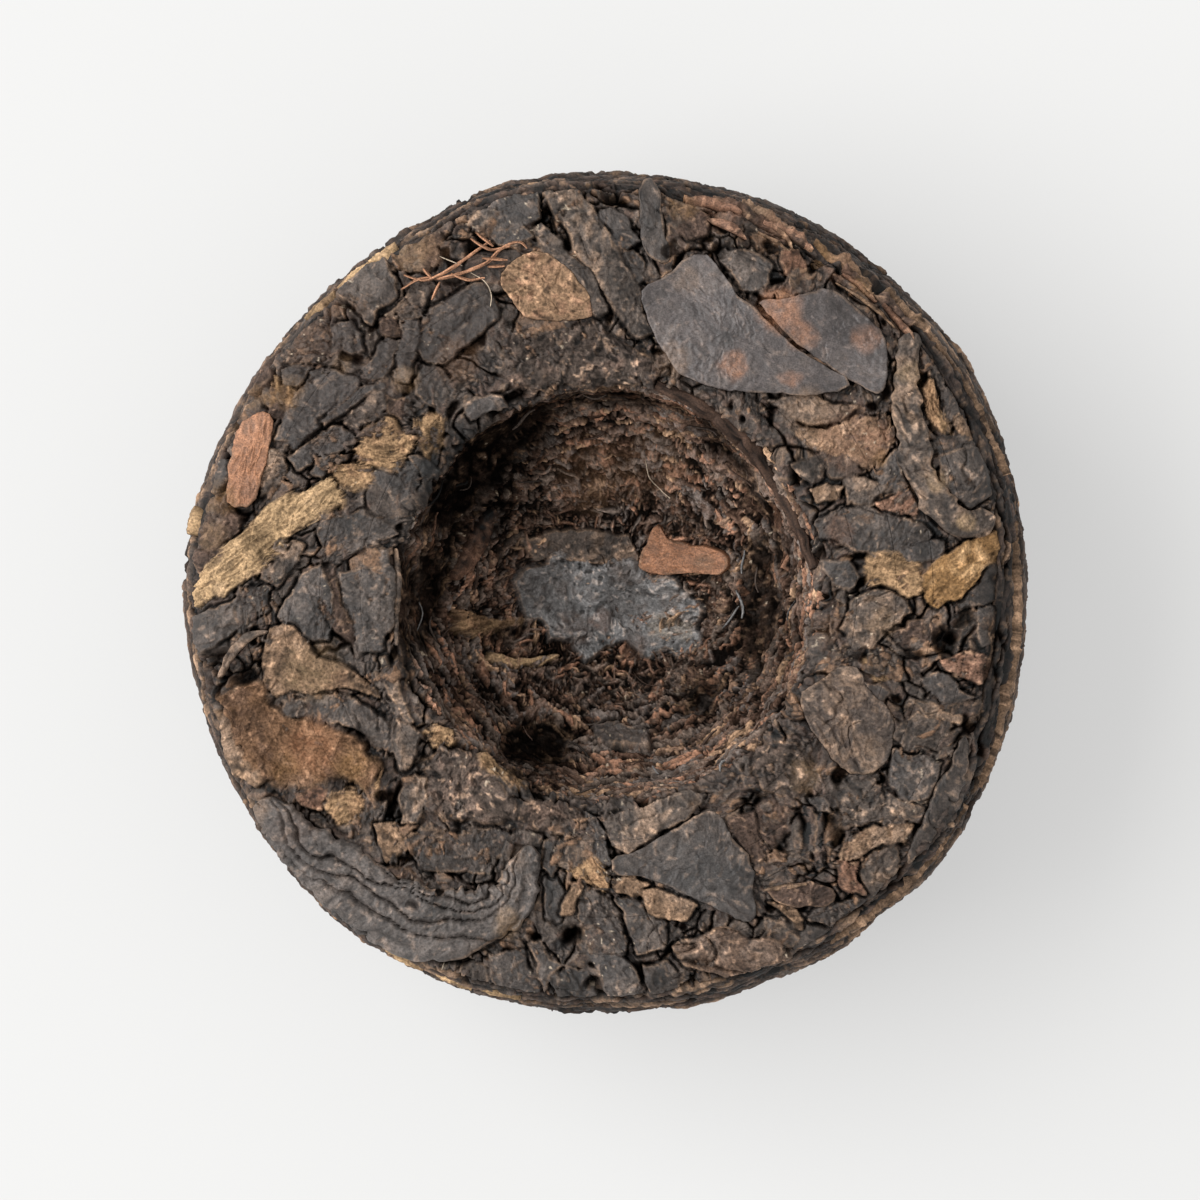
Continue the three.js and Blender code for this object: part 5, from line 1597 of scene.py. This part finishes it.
class TUOCHA_OT_core(bpy.types.Operator):
    """Presses the face, the side with the crown, and the hollow from torn leaf"""

    bl_idname = "tuocha.core"
    bl_label = "Pressed leaf"

    def body(self, name, grid, look):
        """A closed sheet of pressed leaf whose back lies deeper, with a pole where it reaches the axis."""
        form, along = grid.form, grid.rows
        count, rings = len(grid.columns), len(along)
        front_points = form.place(grid.along, grid.azimuth, look.rise).reshape(-1, 3)
        back = along[np.linspace(rings - 1, 0, BACK_RINGS).astype(int)]
        back_grid = np.meshgrid(back, grid.columns, indexing="ij")
        back_points = form.place(*back_grid, np.full((BACK_RINGS, count), -BACK_DEPTH))
        points = np.concatenate([front_points, back_points.reshape(-1, 3)])
        loops = rings + BACK_RINGS
        faces = [ring_faces(k * count, (k + 1) * count, count) for k in range(loops - 1) if k != rings - 1]
        for last, first, reached in ((rings - 1, rings, along[-1]), (loops - 1, 0, along[0])):
            if np.interp(reached, form.along, form.across) > POLE_RADIUS:
                faces.append(ring_faces(last * count, first * count, count))
                continue
            for ring, turned in ((last, True), (first, False)):
                fan = fan_faces(len(points), ring * count, count)
                faces.append(fan[:, ::-1] if turned else fan)
                points = np.concatenate([points, points[ring * count:(ring + 1) * count].mean(0)[None]])
        spare = len(points) - rings * count
        batch = Batch()
        batch.add(points, np.concatenate(faces), Look(
            None,
            np.concatenate([look.tint.reshape(-1, 3), np.tile(look.tint[0, 0], (spare, 1))]),
            np.concatenate([look.gloss.ravel(), np.zeros(spare)]),
        ))
        batch.piece(name, material_for("packed"))

    def execute(self, context):
        sizes, colours = context.scene.tuocha_sizes, context.scene.tuocha_colours
        form = Form(sizes)
        for number, (inner, outer) in enumerate(zip(FACE_EDGES, FACE_EDGES[1:]), 1):
            self.face(form, colours, f"pressed_face_{number}", inner, outer + LAP)
        start = form.at_radius(SIDE_START)
        for name, reach, *steps in SIDE_PIECES:
            end = min(start + reach, form.length - POLE_GAP)
            self.side(form, colours, name, start, end, *steps)
            start = end - LAP
        self.hollow(form, colours, "pressed_hollow_floor", POLE_GAP, HOLLOW_SPLIT, *FLOOR_STEPS)
        lip = form.at_radius(form.lip + LAP)
        self.hollow(form, colours, "pressed_hollow_wall", HOLLOW_SPLIT - LAP, lip, *WALL_STEPS)
        return {"FINISHED"}

    def dress(self, look, x, y, colours):
        """Presses the flush leaves in and makes room under the standing ones."""
        drawn = Leaves(colours, FLUSH_SEED)
        flush = [(kind, stand, spots_of(outline)) for kind, (stand, outline) in rows_of(LEAVES, False)]
        flush += [(kind, stand, band(*strip)) for kind, (stand, *strip) in rows_of(STRIPS, False)]
        for kind, stand, outline in flush:
            press_in(look, x, y, drawn.next(kind, outline), outline, stand)
        look.tint[:] = glinting(stained_and_painted_light(look.tint, x, y, colours), x, y, colours)
        covers = [smooth_line(outline, True) for _, (_, outline) in rows_of(LEAVES, True)]
        covers += [band(*strip) for _, (_, *strip) in rows_of(STRIPS, True)]
        for outline in covers:
            near = close_to(outline, x, y)
            torn = Spots(x[near], y[near]).shaken(CRISP_TEARS, TEAR_SEED, CRISP_TEAR)
            under = smoothstep(depth_in(outline, torn.x, torn.y), 0.0, ROOM_EDGE)
            look.rise[near] -= under * (look.rise[near] + ROOM_DEPTH)

    def face(self, form, colours, name, inner, outer):
        """A ring of the face. It starts a little under the ring inside it."""
        start = form.at_radius(inner)
        grid = Grid(form, start, form.at_radius(outer), 2 * math.pi * outer, FACE_STEP, FACE_STEP)
        look = pressed(Spots(grid.x, grid.y), FACE_RAMP, FACE_SEED, colours)
        self.dress(look, grid.x, grid.y, colours)
        look.rise[:] -= RIM_DIP * smoothstep(grid.along - rim_along(form, grid.azimuth), *FACE_RIM)
        look.rise[:] -= LAP_DIP * (1 - smoothstep(grid.along, start, start + LAP))
        # Deep holes are painted dark as shade
        look.tint[:] *= (1 - HOLE_SHADE * smoothstep(form.sink(grid.x, grid.y), *HOLE_DEEP))[..., None]
        self.body(name, grid, look)

    def side(self, form, colours, name, start, end, *steps):
        """Flakes that lie one over the other round the side and the crown, down to the foot."""
        whole = 2 * math.pi * form.radius
        grid = Grid(form, start, end, whole, *steps)
        spots = Spots(grid.azimuth * form.radius, grid.along, whole)
        look = pressed(spots, SIDE_RAMP, SIDE_SEED, colours, SIDE_SCALE, SIDE_STRETCH)
        torn = spots.shaken(FILL_TEARS, SIDE_SEED + 7)
        plates = cracked(torn, PLATE[0], SIDE_SEED + 8, PLATE[1])
        split = 1 - smoothstep(plates.edge, *PLATE_EDGE)
        strand = torn.noise(SIDE_STRAND[0], SIDE_SEED + 10, SIDE_STRAND[1])
        shows = torn.patches(SIDE_SEED + 13, *SIDE_LINE_PATCH)
        line = shows * torn.fine_lines(SIDE_LINE[0], SIDE_SEED + 12, SIDE_LINE_WIDTH, SIDE_LINE[1])
        upright = Spots(spots.x, spots.y / LUMP_STRETCH, whole)
        lump = sum(
            height * upright.noise(size, SIDE_SEED + 15 + k) for k, (size, height) in enumerate(SIDE_LUMPS)
        )
        # Splits between the plates and the dark lines darken the side as painted shade
        shade = (
            (1 + SIDE_STRAND_SHADE * strand + PLATE_SHADE * plates.tone)
            * (1 - PLATE_SPLIT_SHADE * split) * (1 - SIDE_LINE_SHADE * line)
        )
        look.tint[:] *= np.maximum(shade, DARKEST)[..., None]
        past_rim = grid.along - rim_along(form, grid.azimuth)
        look.rise[:] = (
            lump + SIDE_RELIEF * look.rise + PLATE_LIFT * (plates.tone + plates.lift) - PLATE_SPLIT * split
            - SIDE_LINE_DEPTH * line + SIDE_STRAND_HEIGHT * strand
            - RIM_DIP * (1 - smoothstep(past_rim, *SIDE_RIM))
        )
        self.body(name, grid, look)

    def hollow(self, form, colours, name, start, end, *steps):
        """A part of the hollow: strands along its wall, and this way and that on its floor."""
        widest = 2 * math.pi * np.interp(end, form.along, form.across)
        grid = Grid(form, start, end, widest, *steps)
        x, y = grid.x, grid.y
        around = Spots(grid.azimuth * form.lip, grid.along, 2 * math.pi * form.lip)
        wall = tangled([(around, *sizes) for sizes in WALL_STRANDS], HOLLOW_RAMP, WALL_SEED, colours)
        turned = [(Spots(x, y).turned(angle), *sizes) for angle, *sizes in FLOOR_STRANDS]
        flat = tangled(turned, HOLLOW_RAMP, FLOOR_SEED, colours)
        share = smoothstep(grid.radius, *WALL_RADII)
        # Painted shade, darkest on the wall's lower right
        wall_shade = 1 - WALL_SHADE_SHARE * share * np.maximum(0, np.cos(grid.azimuth - WALL_SHADE_AZIMUTH))
        swell = SWELL * noise(x / SWELL_SIZE, y / SWELL_SIZE, SWELL_SEED)
        tint = flat.tint + (wall.tint - flat.tint) * share[..., None]
        look = Look(
            flat.rise + (wall.rise - flat.rise) * share + swell,
            TANGLE_PALE * tint * wall_shade[..., None],
            flat.gloss,
        )
        self.dress(look, x, y, colours)
        self.body(name, grid, look)


def rim_along(form, azimuth):
    """How far along the section the face ends: further in on the worn side, where the layered edge shows."""
    turn = azimuth / (2 * math.pi)
    ragged = sum(stray * noise(turn * count, 0.5, RIM_SEED, count) for count, stray in RIM_TEARS)
    return form.at_radius(RIM_RADIUS - RIM_SHIFT * np.cos(azimuth - WORN_AZIMUTH) + ragged)


class TUOCHA_OT_leaves(bpy.types.Operator):
    """Lays the leaves, stalks and strips that stand up on the face and in the hollow"""

    bl_idname = "tuocha.leaves"
    bl_label = "Leaves and stalks"

    def execute(self, context):
        colours = context.scene.tuocha_colours
        shells = Shells(Form(context.scene.tuocha_sizes), colours)
        drawn = Leaves(colours, STANDING_SEED)
        batches = {}
        for kind, (stand, outline) in rows_of(LEAVES, True):
            outline = smooth_line(outline, True)
            shells.leaf(batches.setdefault(kind, Batch()), drawn.next(kind, outline), outline, stand)
        for kind, (stand, *strip) in rows_of(STRIPS, True):
            leaf = drawn.next(kind, band(*strip))
            shells.strip(batches.setdefault(kind, Batch()), leaf, *strip, stand)
        for kind, batch in batches.items():
            batch.piece(f"{kind}_leaves", material_for(kind))
        return {"FINISHED"}


def lay_thread(batch, line, radius, flat, sides, tint):
    """Adds a closed thread along a line, as high as this share of its width, which thins towards its ends."""
    way = np.gradient(line, axis=0)
    way = way / np.linalg.norm(way, axis=1)[:, None]
    side = np.cross(way, [0, 0, 1])
    side = side / np.maximum(np.linalg.norm(side, axis=1), 1e-9)[:, None]
    over = flat * np.cross(side, way)
    turn = np.linspace(0, 2 * math.pi, sides, endpoint=False)
    thin = radius * np.sin(np.linspace(THREAD_END, math.pi - THREAD_END, len(line)))[:, None] ** 0.5
    ring = np.cos(turn)[None, :, None] * side[:, None] + np.sin(turn)[None, :, None] * over[:, None]
    points = (line[:, None] + thin[..., None] * ring).reshape(-1, 3)
    points = np.concatenate([points, line[:1], line[-1:]])
    rows = len(line)
    faces = [ring_faces((k + 1) * sides, k * sides, sides) for k in range(rows - 1)]
    faces.append(fan_faces(rows * sides, 0, sides))
    faces.append(fan_faces(rows * sides + 1, (rows - 1) * sides, sides)[:, ::-1])
    look = Look(None, np.broadcast_to(tint, points.shape), np.full(len(points), THREAD_GLOSS))
    batch.add(points, np.concatenate(faces), look)


class TUOCHA_OT_threads(bpy.types.Operator):
    """Lays the thin rootlets and lint that show on the face and the dark twig at the lip"""

    bl_idname = "tuocha.threads"
    bl_label = "Rootlets, lint and twig"

    def execute(self, context):
        form, colours = Form(context.scene.tuocha_sizes), context.scene.tuocha_colours
        for name, lines, radius, lift, sides in THREADS:
            batch = Batch()
            for number, spine in enumerate(lines):
                line = spaced(smooth_line(spine, False), False, THREAD_STEP, least=6)
                wavy = lift + THREAD_WAVE * noise(np.arange(len(line)) * 0.4, number + 0.5, THREAD_SEED)
                row, side = np.mgrid[:len(line), :sides]
                streak = sum(
                    share * noise(count * side / sides, change * row, THREAD_SEED + 1 + k, count)
                    for k, (count, change, share) in enumerate(THREAD_STREAKS)
                )
                rough = radius * (1 + THREAD_ROUGH * streak)
                shade = np.append(np.maximum(1 + THREAD_SHADE * streak, 0.2), [1, 1])
                tint = np.array(getattr(colours, name)) * shade[:, None]
                lay_thread(batch, form.from_above(line, wavy), rough, THREAD_FLAT, sides, tint)
            batch.piece(name, material_for("rust"))
        return {"FINISHED"}


class TUOCHA_OT_shreds(bpy.types.Operator):
    """Lays shreds of leaf along the wall and floor of the hollow"""

    bl_idname = "tuocha.shreds"
    bl_label = "Shreds"

    def execute(self, context):
        form, colours = Form(context.scene.tuocha_sizes), context.scene.tuocha_colours
        lip = form.at_radius(form.lip)
        random = np.random.default_rng(SHRED_SEED)
        steps = np.linspace(-0.5, 0.5, SHRED_STEPS)
        batch = Batch()
        for _ in range(SHRED_COUNT):
            along, azimuth = random.uniform(SHRED_START, lip), random.uniform(0, 2 * math.pi)
            reach = random.uniform(*SHRED_LENGTHS) * SHRED_LENGTH
            heading, bend = random.normal(0, SHRED_HEADING), random.normal(0, SHRED_BEND)
            turned = heading + bend * steps * 2
            radius = max(np.interp(along, form.along, form.across), 1.0)
            line = form.place(
                along + reach * steps * np.sin(turned), azimuth + reach * steps * np.cos(turned) / radius,
                random.uniform(*SHRED_HEIGHTS) + SHRED_WAVE * np.sin(steps * 4 + random.uniform(0, 6)),
            )
            thickness = random.uniform(*SHRED_WIDTHS) * SHRED_WIDTH
            tint = np.array(getattr(colours, random.choice(SHRED_KINDS))) * random.uniform(*SHRED_TONES)
            lay_thread(batch, line, thickness, SHRED_FLAT, SHRED_SIDES, tint)
        batch.piece("hollow_shreds", material_for("shredded"))
        return {"FINISHED"}


class TUOCHA_OT_stage(bpy.types.Operator):
    """Sets the pale floor, the soft light from the upper left and the camera straight above"""

    bl_idname = "tuocha.stage"
    bl_label = "Stage"

    def execute(self, context):
        sizes, colours = context.scene.tuocha_sizes, context.scene.tuocha_colours
        scene = context.scene
        half = sizes.floor / 2
        mesh = bpy.data.meshes.new("floor")
        corners = [(-half, -half, 0), (half, -half, 0), (half, half, 0), (-half, half, 0)]
        mesh.from_pydata(corners, [], [(0, 1, 2, 3)])
        # Matt paper that glows a little: an even light grey without glare
        paper = bpy.data.materials.new("pale_paper")
        paper.use_nodes = True
        shader = paper.node_tree.nodes["Principled BSDF"]
        for name, value in {
            "Base Color": (*colours.floor, 1), "Roughness": 0.9, "Specular IOR Level": 0,
            "Emission Color": (1, 1, 1, 1), "Emission Strength": FLOOR_GLOW,
        }.items():
            shader.inputs[name].default_value = value
        mesh.materials.append(paper)
        floor = bpy.data.objects.new("floor", mesh)
        context.collection.objects.link(floor)
        aim = Vector((0, 0, sizes.cake_height))
        light = bpy.data.lights.new("window", "AREA")
        light.size = WINDOW_SIZE
        light.energy = WINDOW_POWER
        lamp = bpy.data.objects.new("window", light)
        lamp.location = WINDOW_PLACE
        lamp.rotation_euler = (aim - lamp.location).to_track_quat("-Z", "Y").to_euler()
        context.collection.objects.link(lamp)
        world = bpy.data.worlds.new("room")
        world.use_nodes = True
        background = world.node_tree.nodes["Background"]
        background.inputs["Color"].default_value = ROOM_COLOUR
        background.inputs["Strength"].default_value = ROOM_STRENGTH
        scene.world = world
        camera = bpy.data.objects.new("camera", bpy.data.cameras.new("camera"))
        camera.data.lens = camera.data.sensor_width * CAMERA_DISTANCE / FRAME_WIDTH
        camera.location = (*CAMERA_ASIDE, sizes.cake_height + CAMERA_DISTANCE)
        context.collection.objects.link(camera)
        scene.camera = camera
        scene.view_settings.view_transform = "Standard"
        return {"FINISHED"}


OPERATORS = (
    TUOCHA_OT_core, TUOCHA_OT_leaves, TUOCHA_OT_threads, TUOCHA_OT_shreds, TUOCHA_OT_stage,
)


class TUOCHA_PT_panel(bpy.types.Panel):
    """Lists the steps that make the nest"""

    bl_idname = "TUOCHA_PT_panel"
    bl_label = "Mini tuocha"
    bl_space_type = "VIEW_3D"
    bl_region_type = "UI"
    bl_category = "Tuocha"

    def draw(self, context):
        for step in OPERATORS:
            self.layout.operator(step.bl_idname)


CLASSES = (TuochaSizes, TuochaColours, *OPERATORS, TUOCHA_PT_panel)


def register():
    """Adds the settings, steps and panel to Blender."""
    for item in CLASSES:
        bpy.utils.register_class(item)
    bpy.types.Scene.tuocha_sizes = bpy.props.PointerProperty(type=TuochaSizes)
    bpy.types.Scene.tuocha_colours = bpy.props.PointerProperty(type=TuochaColours)


def unregister():
    """Takes them out again."""
    del bpy.types.Scene.tuocha_colours
    del bpy.types.Scene.tuocha_sizes
    for item in reversed(CLASSES):
        bpy.utils.unregister_class(item)


def main():
    """Makes the nest and its stage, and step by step."""
    register()
    bpy.ops.tuocha.core()
    bpy.ops.tuocha.leaves()
    bpy.ops.tuocha.threads()
    bpy.ops.tuocha.shreds()
    bpy.ops.tuocha.stage()


if __name__ == "__main__":
    main()
